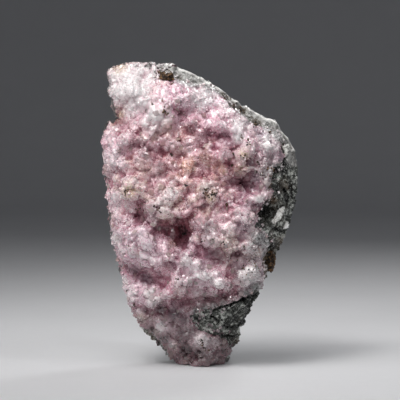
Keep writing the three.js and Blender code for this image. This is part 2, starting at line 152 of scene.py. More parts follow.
# More light is thrown back out of the folds.
LIT = [
    [-21.6, 65, 2.6, 0.9], [-16, 33, 4, 0.9], [-3, 76.6, 3.4, 0.9], [2, 74, 3, 0.7], [-20, 24, 6, 1],
    [-15, 20, 4, 0.6], [15, 27, 4, 0.9], [0.6, 8, 3, 0.9], [-11.3, 11.9, 2.2, 0.9], [-7.8, 6, 2, 0.8],
    [-17, 36, 7.5, 0.9], [-24.5, 39, 3.5, 0.9], [0, 29, 6, 0.7], [4, 41, 4, 0.6], [-6.5, 79, 4, 0.8],
    [10, 70, 5, 1], [-7.5, 52.5, 3, 0.6], [3, 79.5, 4, 0.9], [-16.3, 80.6, 3, 0.7], [-17.8, 22, 3, 0.8],
    [-16.3, 77, 5, 1], [0.2, 78.5, 4, 0.8], [-5.8, 71.6, 2.4, 0.6], [8.6, 68.6, 3, 1],
    [-23.8, 60.6, 3, 0.8], [-24.5, 63.5, 3, 0.9], [-7, 73, 3.5, 0.9], [-2.5, 70.5, 2.4, 0.8],
    [-24.4, 49, 3, 0.8], [-1, 34, 2.4, 0.8], [11.5, 42.6, 3, 0.7], [3.6, 6, 2.6, 0.5], [-22, 22, 3, 0.9],
    [-15.5, 37.8, 3, 0.9], [-10.3, 71.6, 3, 0.9], [-16.3, 57.5, 2.6, 0.8], [-5.8, 29.6, 3, 0.7],
    [-2.8, 55, 2, 0.6],
]
# The crystals are larger and clear.
GLASSY = [
    [-11, 73.5, 5, 1], [-15.5, 76, 3, 0.8], [1, 46, 3, 0.7], [8, 38, 4, 0.6], [-12, 46, 4, 0.7],
    [-2.5, 24.5, 3.5, 0.9], [-10.5, 12, 4, 0.9], [2.5, 54, 3, 0.6], [-12.5, 22, 3, 0.8], [8, 60, 5, 0.4],
    [-17.5, 35, 5, 0.45], [0, 29, 4, 0.4], [-16, 24, 3, 0.4], [-14, 57, 4, 0.4],
]
# Smooth lobes, where few crystals stand out.
SMOOTH_LOBE = [
    [-22, 84, 7.5, 1], [-27.5, 69, 3, 0.8], [-27, 60, 3, 0.5], [-24.5, 49, 2.5, 0.8], [2, 80.5, 4, 0.8],
    [8, 77, 5, 0.9], [14, 71, 5, 0.8], [20, 66.5, 4, 0.6], [-5, 84, 4, 0.7], [5.3, 25.4, 2, 0.6],
    [-3.7, 60, 2.5, 0.7], [-14, 82, 6, 0.9], [-20, 76, 4, 0.8],
]
# Hollows that the crystals don't fill.
OPEN = [
    [-5.5, 41, 5, 0.7], [13.5, 54, 3.6, 0.7], [19.8, 46, 4, 1], [-4, 18, 5, 0.4], [-18, 28.5, 4, 0.4],
    [-5.4, 75.3, 2, 0.2],
]
# Crystals that stand out, as [x, z, width].
LARGE = [
    [-11.2, 12, 3.2], [-7.6, 6.4, 3.6], [5.2, 25, 3.2], [-16.2, 24, 3.6], [-12, 20.2, 2.8], [-5.2, 24.4, 3],
    [-17, 13.8, 2.8], [0.4, 7.8, 2.8], [-3.4, 60.4, 4.2], [2.6, 61.6, 3.8], [12.6, 61.8, 3], [-4, 55, 4.6],
    [-8.8, 44.2, 3.6], [-12.2, 43.4, 4], [17.6, 50.3, 3.2], [-1.5, 46.5, 3.2], [-1.6, 43.4, 3],
    [-21, 49.5, 3], [-11.2, 62.2, 4.2], [-2, 28, 3], [7.4, 63.2, 3], [-2.5, 66.5, 2.8], [13, 28, 3],
    [-14.5, 69, 3], [5.6, 73, 4.2], [12, 57.2, 4], [-15.8, 63.4, 3.4], [7, 57.5, 4.4], [-6.4, 69, 3.2],
    [10.2, 38.4, 3], [5.4, 37, 2.8], [-5.4, 36, 3], [-23, 66, 3.2], [-14.5, 42, 3], [-21.8, 39.6, 3.8],
    [-16.8, 35.8, 3.4], [-12.8, 33.6, 3.4], [-18.8, 32.1, 3.2], [-10.8, 38.9, 2.6], [-24.6, 36.6, 2.8],
    [-12.3, 27.6, 3.2], [-16, 30.2, 2.4], [15, 24.6, 3.4], [14.6, 34, 3], [1.4, 25.4, 3], [-1, 32.4, 3.4],
]
# Groups of specks of iron oxide on the crust, as [x, z].
SPECKS = [
    [-12.4, 88.4], [-9.8, 88.2], [-10.4, 86.4], [-12.8, 86.6], [-7.6, 83.6], [-8.4, 87.4], [-13.6, 77.3],
    [-15.7, 75.5], [-10.9, 78.5], [14.3, 66.8], [14.3, 65.6], [12.2, 68], [9.8, 63.2], [9.4, 59.5],
    [8, 48.5], [20.3, 54.2], [20.3, 52.7], [-3.7, 54.2], [0.8, 38.2], [3.8, 38.3], [7, 37.3], [-21.5, 22.4],
    [-19, 18.2], [0.8, 7.4], [1.6, 5.6], [5, 5.6], [0.4, 8.6], [2.8, 5], [6.4, 6.4], [-8.1, 62.5],
    [-6.3, 27], [-20.6, 36.4], [17, 60.6], [19.6, 59.2], [18, 57.4], [21.4, 58.4], [16.4, 58.2],
]
# Other groups of them, as [x, z, spread, number].
CLUSTERS = [
    [3.2, 51.2, 1, 30], [2.2, 52.6, 0.6, 10], [-9.9, 75.3, 0.45, 14], [-12, 47.2, 0.45, 9],
    [-17.8, 47, 0.5, 8], [-21.1, 51.9, 0.6, 10], [12.6, 62.2, 0.5, 6], [8, 79.6, 0.45, 9],
    [12.4, 75.7, 0.6, 16], [16.9, 71.7, 0.55, 12], [10.3, 77.6, 0.4, 5], [14.8, 73.6, 0.4, 5],
    [13.4, 30, 2.2, 12], [15.4, 34.6, 1.8, 12], [19.4, 56.4, 1.8, 12], [-10.9, 87.1, 1.1, 16],
    [-11.6, 85.4, 0.6, 8], [20.6, 69.6, 0.4, 4],
]
# Grooves between the knobs, cut deeper, as [x, z] to [x, z], radius, depth.
GROOVES = [
    [-5.6, 43, -5, 40.3, 2.2, 3.6], [-14.5, 42.4, -8, 40.4, 1.5, 2], [-0.8, 41.6, -3.6, 38.6, 1.4, 1.8],
    [-23.5, 47.5, -17.5, 45.5, 1.8, 1.6], [-17.5, 45.5, -12.7, 41.3, 2.2, 2.2],
    [-12.7, 41.3, -5, 37.5, 2, 2], [-5, 41.5, -4.5, 37, 1.6, 1.6], [0.6, 36.2, 4.6, 34.4, 1.3, 2.2],
    [4.6, 34.4, 8.4, 33.6, 1.3, 2.2], [8.4, 33.6, 11.6, 34, 1.2, 2], [16, 24.4, 12, 22.6, 1, 1.2],
    [-3.7, 35.5, -8.2, 31.9, 1.3, 1.2], [-8.2, 31.9, -14.8, 26.4, 1.4, 1.2], [-23.5, 29.8, -18, 28, 2, 1.9],
    [-18, 28, -12.5, 25.8, 2, 1.9], [-6, 19, 2, 20.5, 2, 2.2], [2, 20.5, 10, 22.5, 1.8, 2.2],
    [-16, 17.5, -5, 16, 1.8, 1.5], [11, 54.3, 17.5, 53.2, 2, 1.8], [17.5, 47.5, 20.5, 45.5, 2.4, 1.8],
    [-6.4, 76.2, -4.8, 74.6, 1, 0.9], [-25, 73.5, -16, 68, 1.8, 0.9], [-17, 60.6, -12, 62.2, 1.2, 0.7],
    [-13.5, 64, -5, 61, 1.4, 0.7], [14, 60.8, 20.5, 62.3, 1.4, 1.2], [3.8, 69, 8.4, 68.2, 1.1, 1.1],
    [-2.4, 69.8, 0.8, 67.4, 1.1, 0.9], [7, 46, 10.5, 51.5, 1.4, 0.7], [9.8, 56, 8.8, 61, 1.3, 1],
    [-5.5, 28.5, -1, 33.5, 1.3, 1], [9.5, 27, 10.5, 22.5, 1.6, 1.6], [-14, 30, -17.5, 36, 1.3, 0.8],
    [-1, 49.5, -0.5, 57, 1.1, 0.5], [-6, 9, -3, 3, 1.8, 1.4], [-14, 12, -8, 9.5, 1.4, 1.3],
    [14, 45, 16.5, 48.5, 1.4, 1], [12, 40, 13.5, 35, 1.4, 1.2], [-4, 47.5, -5, 44, 1.3, 1],
    [-1, 25, 2, 23, 1.2, 0.8], [15.5, 57, 15.5, 62, 1.2, 0.8],
]
# Ridges that stand out further, given like the grooves.
RIDGES = [
    [4, 46.5, 5, 42, 2.4, 2.4], [-17.5, 40, -13, 38.5, 2.4, 2.8], [-8.4, 78.4, -3, 79.2, 3, 2.6],
    [-19, 79.4, -14, 78.6, 2.8, 1.4], [-25, 40, -22, 37, 3, 1], [-16, 38, -9, 35.8, 2.8, 2.9],
    [-9, 35.2, -4, 33.6, 2.2, 2.6], [-4, 33.6, -2, 36, 1.8, 2], [3.4, 44.4, -3.2, 37, 1.9, 3.2],
    [15.5, 50.4, 18.6, 50, 1.5, 0.7], [3.5, 70.8, 9.4, 70.2, 1.6, 1.2], [9, 44.5, 13, 43.5, 2, 1],
    [-27, 38, -25, 41, 2, 0.8], [-13.5, 38.6, -12.5, 41, 1.4, 0.9], [-7, 28.5, -5, 30.5, 1.6, 1],
    [-25, 62, -22.5, 61, 2, 1], [-14, 66.8, -12, 65.6, 1.6, 1.2], [-9, 50.8, -7.4, 50.4, 1.8, 0.8],
    [2.5, 41, 5.5, 40.4, 1.8, 1.2], [-21, 24, -12, 23, 1.8, 1.1], [-19, 54, -15, 50, 2.6, 0.7],
    [-13, 47.5, -7, 44.5, 2.4, 0.8], [3, 40, 11, 37.5, 2.8, 0.7], [-22, 38, -12, 33, 3.4, 0.9],
    [-3, 27, 6, 26, 2.4, 0.9], [-20, 21.5, -11, 20.5, 2.2, 0.9], [-12, 13, -7, 8, 1.8, 0.8],
    [13, 29.5, 16, 26.5, 2.6, 1.2], [13, 37, 17, 40, 2.2, 0.9],
]

# ---------- and on the rock ----------
# Cracks, given like the grooves.
CRACKS = [
    [16.7, 20.9, 14.2, 20.5, 0.5, 1.6], [14.2, 20.5, 11.9, 19.7, 0.5, 1.6],
    [11.9, 19.7, 9.3, 18.9, 0.5, 1.5], [9.3, 18.9, 6.5, 18.7, 0.5, 1.3], [6.5, 18.7, 4.4, 17.6, 0.5, 1.2],
    [15.7, 19.9, 14.4, 16.1, 0.5, 1.2], [14.4, 16.1, 13.2, 11.1, 0.5, 1.2], [7, 11.9, 8.9, 11.3, 0.4, 1],
    [8.9, 11.3, 11.6, 11.3, 0.45, 1.2], [11.6, 11.3, 13, 12.8, 0.45, 1.2], [6.7, 8.9, 9.2, 8.6, 0.45, 1.1],
    [9.2, 8.6, 11.6, 8.1, 0.45, 1.1], [3.4, 15.4, 5.6, 13.6, 0.45, 1], [22, 58, 25, 57.8, 0.6, 1.4],
    [24.8, 62.5, 24.2, 57, 0.5, 1.2], [24.8, 52.5, 25.8, 49, 0.6, 1.4], [21.4, 41.4, 24, 40.4, 0.6, 1.3],
    [26.4, 56, 27.4, 50, 0.5, 1],
]
# The pale band of small crystals along the upper right rim, as a line of [x, z].
RIM_BAND = [
    [-17, 89.6], [-11, 88.6], [-3, 85.5], [4, 82.5], [9, 79.5], [15, 75.5], [21, 71.8], [26, 67], [28, 62],
]
# How far the pale band reaches over the crust from that line, as [x, reach].
RIM_WIDTH = [[-8, 3], [-2, 2.6], [1, 1], [7, 1], [11, 2.4], [28, 2.2]]
# Brown pits in the pale rim.
RIM_PITS = [
    [7.8, 80.2, 1.6, 0.9], [9.5, 77.2, 1.4, 1], [12.5, 75.8, 1.7, 1], [16.8, 71.8, 1.8, 1],
    [24, 65.5, 1.3, 1], [-10.5, 87.5, 1.4, 0.5], [-7, 85, 1.6, 0.7], [21, 69.3, 1.2, 0.7], [25, 62.4, 1, 1],
]
PALE_ROCK = [
    [9.5, 17, 4, 1.3], [21.4, 47, 2, 1.3], [1.5, 15.5, 3, 1.3], [4, 12, 2.5, 1.2], [24.5, 50, 3, 1.2],
    [19.5, 39.5, 4.5, 1], [23.5, 39.5, 3, 0.9], [15, 40.5, 3, 0.7], [4.7, 17.6, 3.6, 0.7],
    [7.7, 16, 3.6, 0.8], [11, 18.2, 3, 0.8], [2, 18.5, 2.6, 0.6], [8.5, 12.5, 3, 0.5], [12, 8.8, 2.2, 0.8],
    [24, 55, 2.6, 0.5], [21.2, 59.6, 3, 0.8], [25.7, 50.6, 2.6, 0.4], [21.8, 42, 2.6, 0.9],
    [14, 21, 2.4, 0.6], [22, 62, 2.5, 0.8], [17, 33, 2.5, 0.6], [23.6, 46, 2.6, 1], [24.5, 61, 2.6, 1],
    [25.5, 55, 3, 1], [27, 62, 2, 0.8], [22.6, 56, 2, 1], [27.5, 58, 2, 0.9], [27.5, 54, 2.4, 0.9],
    [26, 48, 2, 0.9], [24, 59, 2.4, 1], [21.6, 44.4, 1.6, 0.8],
]
BROWN_ROCK = [
    [20.6, 30.5, 4, 1], [21.4, 49.4, 1.5, 0.9], [25, 53.6, 2.2, 0.6], [18, 25.5, 3.6, 0.6],
    [-24.5, 33, 3, 0.8], [-15, 6, 5, 0.5], [24, 36.5, 2.4, 0.6], [13, 6, 3, 0.5],
]
BLACK_ROCK = [
    [17, 43.4, 1.6, 1], [18.8, 46, 1.5, 1], [25.7, 59.6, 1, 1], [22.4, 58.6, 1.4, 1], [23, 53.4, 1.4, 0.9],
    [10.5, 14.5, 2, 0.7], [22, 36, 1.6, 0.8], [-22, 28, 3, 0.5], [14, 12.4, 2, 0.8],
]
# Where small crystals of the crust cover the rock.
COVERED = [
    [-11.5, 88, 3.4, 0.9], [-7.5, 84.5, 2.2, 0.7], [5, 80.4, 1.6, 0.6], [21, 68.4, 2.2, 0.9],
    [22.5, 66, 2, 0.8],
]


def spots(table, points):
    """How strongly the table's round spots are felt at each point, each up to its own strength."""
    x, z = points[:, 0], points[:, 2]
    felt = np.zeros(len(points))
    for at_x, at_z, radius, strength in table:
        off = ((x - at_x) ** 2 + (z - at_z) ** 2) / radius**2
        felt = np.maximum(felt, strength * np.exp(-1.2 * off**1.5))
    return felt


def off_segment(points, x0, z0, x1, z1):
    """How far each point is from the segment, on the face."""
    x, z = points[:, 0], points[:, 2]
    along = ((x - x0) * (x1 - x0) + (z - z0) * (z1 - z0)) / max((x1 - x0) ** 2 + (z1 - z0) ** 2, 1e-9)
    along = np.clip(along, 0, 1)
    return np.hypot(x - x0 - along * (x1 - x0), z - z0 - along * (z1 - z0))


def off_line(line, points):
    """How far each point is from the line through the given places, on the face."""
    return np.min([off_segment(points, *a, *b) for a, b in zip(line, line[1:])], axis=0)


def smoothstep(low, high, value):
    """A smooth rise from 0 at low to 1 at high."""
    t = np.clip((value - low) / (high - low), 0, 1)
    return t * t * (3 - 2 * t)


# ---------- meshes ----------
def link(name, mesh):
    """A new object of the mesh, in the scene."""
    piece = bpy.data.objects.new(name, mesh)
    bpy.context.scene.collection.objects.link(piece)
    return piece


def applied(piece):
    """The piece's mesh with its modifiers applied, after which the piece itself is removed."""
    graph = bpy.context.evaluated_depsgraph_get()
    mesh = bpy.data.meshes.new_from_object(piece.evaluated_get(graph))
    old = piece.data
    bpy.data.objects.remove(piece)
    bpy.data.meshes.remove(old)
    return mesh


def remeshed(node, voxel, smoothing):
    """A CAD node's shape in even faces of about voxel millimetres."""
    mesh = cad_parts[node].data.copy()
    edit = bmesh.new()
    edit.from_mesh(mesh)
    bmesh.ops.remove_doubles(edit, verts=edit.verts, dist=0.001 * MM)
    edit.to_mesh(mesh)
    edit.free()
    piece = link(node + "_even", mesh)
    remesh = piece.modifiers.new("even", "REMESH")
    remesh.mode = "VOXEL"
    remesh.voxel_size = voxel * MM
    smooth = piece.modifiers.new("smooth", "SMOOTH")
    smooth.factor = 0.5
    smooth.iterations = smoothing
    return applied(piece)


def read(data, name, width=3):
    """One property of all the mesh's elements, as an array."""
    out = np.empty(len(data) * width, np.float32)
    data.foreach_get(name, out)
    return out.reshape(-1, width).astype(float)


def points_of(mesh):
    """The mesh's points, in millimetres."""
    return read(mesh.vertices, "co") / MM


def set_points(mesh, points):
    """Moves the mesh's points to places in millimetres."""
    mesh.vertices.foreach_set("co", (points * MM).astype(np.float32).ravel())
    mesh.update()


def inside_box(points, ease=0.05):
    """The points, none of them outside the CAD model's box, and slowed down over the last ease millimetres.

    The bottom is cut off flat instead, as the floor is there.
    """
    ease = np.broadcast_to(np.array(ease, float), 3)
    low = np.array(cad_low) / MM + 0.02
    high = np.array(cad_high) / MM - 0.02
    low[2] = -100
    points = np.where(points < low + ease, low + ease * np.exp((points - low) / ease - 1), points)
    points = np.where(points > high - ease, high - ease * np.exp((high - points) / ease - 1), points)
    points[:, 2] = np.maximum(points[:, 2], 0)
    return points


def tree_of(mesh):
    """The mesh's faces, ordered for rays and for finding the nearest point."""
    return BVHTree.FromPolygons(points_of(mesh).tolist(), [p.vertices[:] for p in mesh.polygons])


IN_FRONT = -60  # where the rays from the front start


def seen(tree, x, z):
    """The point of the tree's mesh that is seen at [x, z] from the front, and the normal there."""
    return tree.ray_cast(Vector((x, IN_FRONT, z)), Vector((0, 1, 0)))[:2]


def ordered(places):
    """The places, ordered for finding those near a place."""
    near = kdtree.KDTree(len(places))
    for i, place in enumerate(places):
        near.insert(place, i)
    near.balance()
    return near


def store(mesh, **fields):
    """Keeps a number for each point under each name, for the materials."""
    for name, values in fields.items():
        attribute = mesh.attributes.get(name) or mesh.attributes.new(name, "FLOAT", "POINT")
        attribute.data.foreach_set("value", np.asarray(values, np.float32))


def loosely(low, more):
    """Gaps between low and low + more, drawn for each place."""
    return lambda at: low + more * rng.random(len(at))


def anywhere(places, normals):
    """Every place is kept."""
    return np.ones(len(places))


def sprinkled(mesh, tries, gap, chance=anywhere, most=None):
    """Random points on the mesh and its normals there, no two nearer than gap(points).

    chance(points, normals) is each one's chance of being kept, and most is how many are kept in the end.
    """
    mesh.calc_loop_triangles()
    tris = np.empty(len(mesh.loop_triangles) * 3, np.int32)
    mesh.loop_triangles.foreach_get("vertices", tris)
    a, b, c = points_of(mesh)[tris.reshape(-1, 3)].transpose(1, 0, 2)
    cross = np.cross(b - a, c - a)
    area = np.linalg.norm(cross, axis=1)
    pick = rng.choice(len(area), tries, p=area / area.sum())
    u, v = rng.random((2, tries, 1))
    u, v = np.where(u + v > 1, 1 - u, u), np.where(u + v > 1, 1 - v, v)
    places = a[pick] + u * (b - a)[pick] + v * (c - a)[pick]
    normals = cross[pick] / area[pick, None]
    kept = rng.random(tries) < chance(places, normals)
    places, normals = places[kept], normals[kept]
    near = ordered(places)
    free = np.ones(len(places), bool)
    chosen = []
    for i, need in enumerate(gap(places)):
        if free[i]:
            chosen.append(i)
            for _, j, _ in near.find_range(places[i], need):
                free[j] = False
    return places[chosen[:most]], normals[chosen[:most]]


# ---------- crystals ----------
RHOMB_LEAN = math.radians(63.7)  # how far a calcite rhombohedron's edges lean from its short axis
ZIGZAG = 0.18  # how far the corners of a dogtooth's waist go up and down


def rhomb(flat=1.0):
    """A calcite rhombohedron about 1 wide with its short axis along Z: its corners and its faces."""
    across, along = math.sin(RHOMB_LEAN), math.cos(RHOMB_LEAN) * flat
    edges = []
    for k in range(3):
        turn = math.tau * k / 3
        edges.append((across * math.cos(turn), across * math.sin(turn), along))
    a, b, c = np.array(edges)
    corners = np.array([a * i + b * j + c * k for k in (0, 1) for j in (0, 1) for i in (0, 1)])
    corners -= corners.mean(0)
    corners /= 2 * np.linalg.norm(corners[:, :2], axis=1).max()
    return corners, [(0, 2, 3, 1), (4, 5, 7, 6), (0, 1, 5, 4), (2, 6, 7, 3), (0, 4, 6, 2), (1, 3, 7, 5)]


def dogtooth(tall=1.3):
    """A scalenohedron about 1 wide with its long axis along Z."""
    corners = [(0, 0, tall / 2), (0, 0, -tall / 2)]
    for k in range(6):
        turn = math.tau * k / 6
        width = 0.5 if k % 2 else 0.4
        corners.append((width * math.cos(turn), width * math.sin(turn), ZIGZAG / 2 * (-1) ** k))
    faces = []
    for k in range(6):
        here, there = 2 + k, 2 + (k + 1) % 6
        faces += [(0, here, there), (1, there, here)]
    return np.array(corners), faces


def bevelled(form, width):
    """The same crystal with its edges cut back, so that they catch the light."""
    corners, faces = form
    edit = bmesh.new()
    verts = [edit.verts.new(corner) for corner in corners]
    for face in faces:
        edit.faces.new([verts[i] for i in face])
    bmesh.ops.recalc_face_normals(edit, faces=edit.faces)
    bmesh.ops.bevel(edit, geom=edit.edges[:] + edit.verts[:], offset=width, segments=1, affect="EDGES")
    edit.verts.index_update()
    form = np.array([v.co[:] for v in edit.verts]), [tuple(v.index for v in f.verts) for f in edit.faces]
    edit.free()
    return form


def turned(normals, tilt):
    """Rotations that take +Z to about each normal, tilt degrees off it at most, and spun at random."""
    z = normals + math.tan(math.radians(tilt)) * rng.uniform(-0.6, 0.6, normals.shape)
    z /= np.linalg.norm(z, axis=1, keepdims=True)
    x = np.cross(rng.normal(size=normals.shape), z)
    x /= np.linalg.norm(x, axis=1, keepdims=True)
    return np.stack([x, np.cross(z, x), z], axis=2)


def crystals(name, forms, kinds, places, turns, sizes):
    """One mesh of many crystals, each with a number of its own from 0 to 1 in the attribute "own"."""
    corners, faces, own, start = [], [], [], 0
    chance = rng.random(len(places))
    for kind, (shape, sides) in enumerate(forms):
        of = np.flatnonzero(kinds == kind)
        put = np.einsum("nij,nkj->nki", turns[of], shape * sizes[of, None, None]) + places[of, None]
        corners.append(put.reshape(-1, 3))
        own.append(np.repeat(chance[of], len(shape)))
        for i in range(len(of)):
            first = start + i * len(shape)
            faces += [tuple(first + k for k in side) for side in sides]
        start += len(of) * len(shape)
    mesh = bpy.data.meshes.new(name)
    mesh.from_pydata((inside_box(np.vstack(corners), 0.5) * MM).tolist(), [], faces)
    mesh.update()
    store(mesh, own=np.concatenate(own))
    return mesh


def layers_of(places, reaches):
    """Puts crystals in layers so that no two in one layer can touch: a layer number for each."""
    near = ordered(places)
    layers = np.full(len(places), -1)
    for i, place in enumerate(places):
        taken = set()
        for _, j, far in near.find_range(place, reaches[i] + reaches.max()):
            if far < reaches[i] + reaches[j]:
                taken.add(layers[j])
        layers[i] = next(k for k in range(len(places)) if k not in taken)
    return layers


def grown_together(name, base, forms, kinds, places, turns, sizes):
    """The base mesh with all the crystals joined into it, as one closed surface."""
    spans = np.array([np.linalg.norm(shape, axis=1).max() for shape, _ in forms])
    layers = layers_of(places, spans[kinds] * sizes)
    piece = link(name, base)
    helpers = []
    for layer in range(layers.max() + 1):
        of = layers == layer
        mesh = crystals(f"{name}_{layer}", forms, kinds[of], places[of], turns[of], sizes[of])
        helpers.append(link(mesh.name, mesh))
        union = piece.modifiers.new(mesh.name, "BOOLEAN")
        union.operation = "UNION"
        union.solver = "MANIFOLD"
        union.object = helpers[-1]
    grown = applied(piece)
    for helper in helpers:
        mesh = helper.data
        bpy.data.objects.remove(helper)
        bpy.data.meshes.remove(mesh)
    return grown


# ---------- relief of the crusted face ----------
FACE_END = 5.0  # what lies behind this y isn't moved
FADE = 7.0  # over how far in front of it the moves fade
GRID_X = (-34, 34)  # the part of the face that the grids of rays cover
GRID_Z = (-4, 95)
SHARPEN = 0.5  # how much further the knobs stand out than in the CAD model
FILLING = 0.55  # how much of a hollow the crystals fill, apart from the open ones


def lined(lines, points):
    """How strongly the nearest of the lines is felt at each point, as its own depth or height."""
    felt = np.zeros(len(points))
    for x0, z0, x1, z1, radius, most in lines:
        off = off_segment(points, x0, z0, x1, z1) / radius
        felt = np.maximum(felt, most * np.exp(-(off**2)))
    return felt


def set_back(mesh, how_far, ease=0.05):
    """Moves the crusted face back, by a distance for each point, leaving the rest of the specimen."""
    points = points_of(mesh)
    points[:, 1] += how_far(points) * smoothstep(FACE_END, FACE_END - FADE, points[:, 1])
    set_points(mesh, inside_box(points, ease))


def blurred(grid, radius):
    """The grid's mean over about the radius, in grid steps."""
    reach = np.arange(-math.ceil(3 * radius), math.ceil(3 * radius) + 1)
    kernel = np.exp(-0.5 * (reach / radius) ** 2)
    kernel /= kernel.sum()
    for axis in (0, 1):
        grid = np.apply_along_axis(lambda line: np.convolve(line, kernel, "same"), axis, grid)
    return grid


class Front:
    """How far forward the face comes, as a grid of rays finds it, and its mean shape over a distance."""

    def __init__(self, meshes, step, blur):
        trees = [tree_of(mesh) for mesh in meshes]
        self.step = step
        self.x = np.arange(GRID_X[0], GRID_X[1] + step, step)
        self.z = np.arange(GRID_Z[0], GRID_Z[1] + step, step)
        front = np.full((len(self.x), len(self.z)), np.inf)
        for i, x in enumerate(self.x):
            for j, z in enumerate(self.z):
                for tree in trees:
                    hit = seen(tree, x, z)[0]
                    if hit is not None:
                        front[i, j] = min(front[i, j], hit.y)
        found = np.isfinite(front)
        self.cover = blurred(found.astype(float), blur / step)
        self.mean = blurred(np.where(found, front, 0), blur / step) / np.maximum(self.cover, 1e-6)

    def at(self, grid, points):
        """The grid's value at each point's place on the face, blended between the grid's nodes."""
        i = np.clip((points[:, 0] - self.x[0]) / self.step, 0, len(self.x) - 1.001)
        j = np.clip((points[:, 2] - self.z[0]) / self.step, 0, len(self.z) - 1.001)
        a, b = i.astype(int), j.astype(int)
        u, v = i - a, j - b
        low = grid[a, b] * (1 - u) + grid[a + 1, b] * u
        high = grid[a, b + 1] * (1 - u) + grid[a + 1, b + 1] * u
        return low * (1 - v) + high * v

    def relief(self, points):
        """How far each point stands in front of the mean shape: above 0 on knobs, below 0 in hollows."""
        inside = smoothstep(0.68, 0.95, self.at(self.cover, points))
        return (self.at(self.mean, points) - points[:, 1]) * inside


crust = remeshed("pink_crust", 0.43, 3)
rock = remeshed("matrix", 0.5, 2)
body = Front([crust, rock], step=1.0, blur=4.5)


def sharper(points):
    """How far each point moves back to deepen the grooves, and forward to raise knobs and fill hollows."""
    high = body.relief(points)
    filling = FILLING * (1 - spots(OPEN, points))
    lines = lined(GROOVES, points) - lined(RIDGES, points)
    return lines - SHARPEN * np.clip(high, 0, 3) + filling * np.clip(high, -5, 0)


set_back(crust, sharper, (1.0, 2.5, 1.0))
set_back(rock, sharper)
crust_tree = tree_of(crust)
rock_tree = tree_of(rock)


def away(tree, points, most):
    """How far each point is from the tree's mesh, and most if it is further than that."""
    out = np.full(len(points), most)
    for i, point in enumerate(points):
        found = tree.find_nearest(point, most)[3]
        if found is not None:
            out[i] = found
    return out


def clouds(points, size, seed=0.0):
    """Soft noise of about the given size, from 0 to 1."""
    shift = Vector((seed, seed, seed))
    return np.array([noise.noise(Vector(point) / size + shift) for point in points]) * 0.6 + 0.5


# ---------- the crust ----------
# Rounded lumps of crystal all over it, coarse ones and then fine ones, as gap, radius, how far the radius
# varies, height at which nothing moves, and share of the height that is kept.
LUMPS = ((3.4, 3.3, 1.3, 2.6, 1.0), (1.25, 1.2, 0.5, 0.95, 0.7))
LUMP_TRIES = 60000
SHRINK = 0.3  # how far the crust is let in first, so that the lumps keep its size


def exposed(places, normals):
    """Whether each place is on the outer side of the crust, with no rock just outside it."""
    free = np.ones(len(places), bool)
    for i, (place, normal) in enumerate(zip(places, normals)):
        start = Vector(place + 0.02 * normal)
        free[i] = rock_tree.ray_cast(start, Vector(normal), 2.2)[0] is None
    return free


def domed(points, centres, radii):
    """How high the lumps about the centres stand at each point, and which of them is highest there."""
    near = ordered(centres)
    most = radii.max()
    high = np.zeros(len(points))
    which = np.zeros(len(points), int)
    for i, point in enumerate(points):
        for _, j, far in near.find_range(point, most):
            if far < radii[j]:
                rise = math.sqrt(radii[j] ** 2 - far**2)
                if rise > high[i]:
                    high[i] = rise
                    which[i] = j
    return high, which


def lumpy(mesh):
    """Covers the outer side with rounded lumps of crystal."""
    points = points_of(mesh)
    normals = read(mesh.vertices, "normal")
    free = away(rock_tree, points, 3.0)
    outer = exposed(points, normals)
    rise = np.zeros(len(points))
    fine = np.zeros(len(points))
    for gap, radius, spread, base, height in LUMPS:
        centres, _ = sprinkled(mesh, LUMP_TRIES, lambda at: gap * (1 + 0.25 * rng.random(len(at))))
        radii = radius + spread * rng.uniform(-0.5, 0.5, len(centres))
        high, which = domed(points, centres, radii)
        fine = height * (high - base)
        rise += fine
    rise *= 1 - 0.6 * smoothness(points)
    # Near the rock the crust can't sink, and its front is lifted, so that the rock stays covered.
    floor = np.clip(0.4 - free, -1.6, 0) + np.clip(fine + 0.4, 0, 0.9)
    lift = 0.4 * np.clip(1.4 - free, 0, 1) * smoothstep(0.2, -0.5, normals[:, 1])
    move = np.where(outer, np.maximum(rise - SHRINK + lift, floor), 0)
    set_points(mesh, inside_box(points + normals * move[:, None], (0.6, 1.0, 0.6)))
    store(mesh, own=(0.25 + 0.5 * rng.random(len(centres)))[which])
    return mesh


def smoothness(places):
    """How smooth the crust is at each place."""
    return spots(SMOOTH_LOBE, places)


def glassiness(places):
    """How large and clear its crystals are at each place."""
    return spots(GLASSY, places)


rng = np.random.default_rng(21)
crust = lumpy(crust)
# The last form is only for the crystals that stand out.
MAIN_FORMS = [
    bevelled(rhomb(), 0.1),
    bevelled(rhomb(0.8), 0.1),
    bevelled(rhomb(0.9), 0.06),
    bevelled(dogtooth(1.1), 0.06),
    bevelled(rhomb(0.85), 0.09),
]
MAIN_SHARES = [0.33, 0.34, 0.22, 0.11, 0]
STANDING_OUT = len(MAIN_FORMS) - 1
rng = np.random.default_rng(22)
places, normals = sprinkled(
    crust,
    tries=20000,
    gap=lambda at: 1.7 + 0.8 * glassiness(at) + 1.7 * rng.random(len(at)),
    chance=lambda at, out: exposed(at, out) * (0.85 - 0.7 * smoothness(at)),
)
sizes = (1.3 + 1.4 * rng.random(len(places)) ** 2) * (1 + 0.3 * glassiness(places))
kinds = rng.choice(len(MAIN_FORMS), len(places), p=MAIN_SHARES)
crust_front = tree_of(crust)
for x, z, width in LARGE:
    place, normal = seen(crust_front, x, z)
    if place is not None:
        near = np.linalg.norm(places - np.array(place), axis=1) < 0.6 * width
        places, normals = np.vstack([places[~near], place]), np.vstack([normals[~near], normal])
        sizes, kinds = np.append(sizes[~near], width), np.append(kinds[~near], STANDING_OUT)
sunk = places - 0.2 * sizes[:, None] * normals
crust = grown_together("pink_calcite", crust, MAIN_FORMS, kinds, sunk, turned(normals, 50), sizes)

# ---------- the druse on it ----------
SMALL_FORMS = [rhomb(), rhomb(0.7), dogtooth()]
SMALL_SHARES = [0.45, 0.35, 0.2]


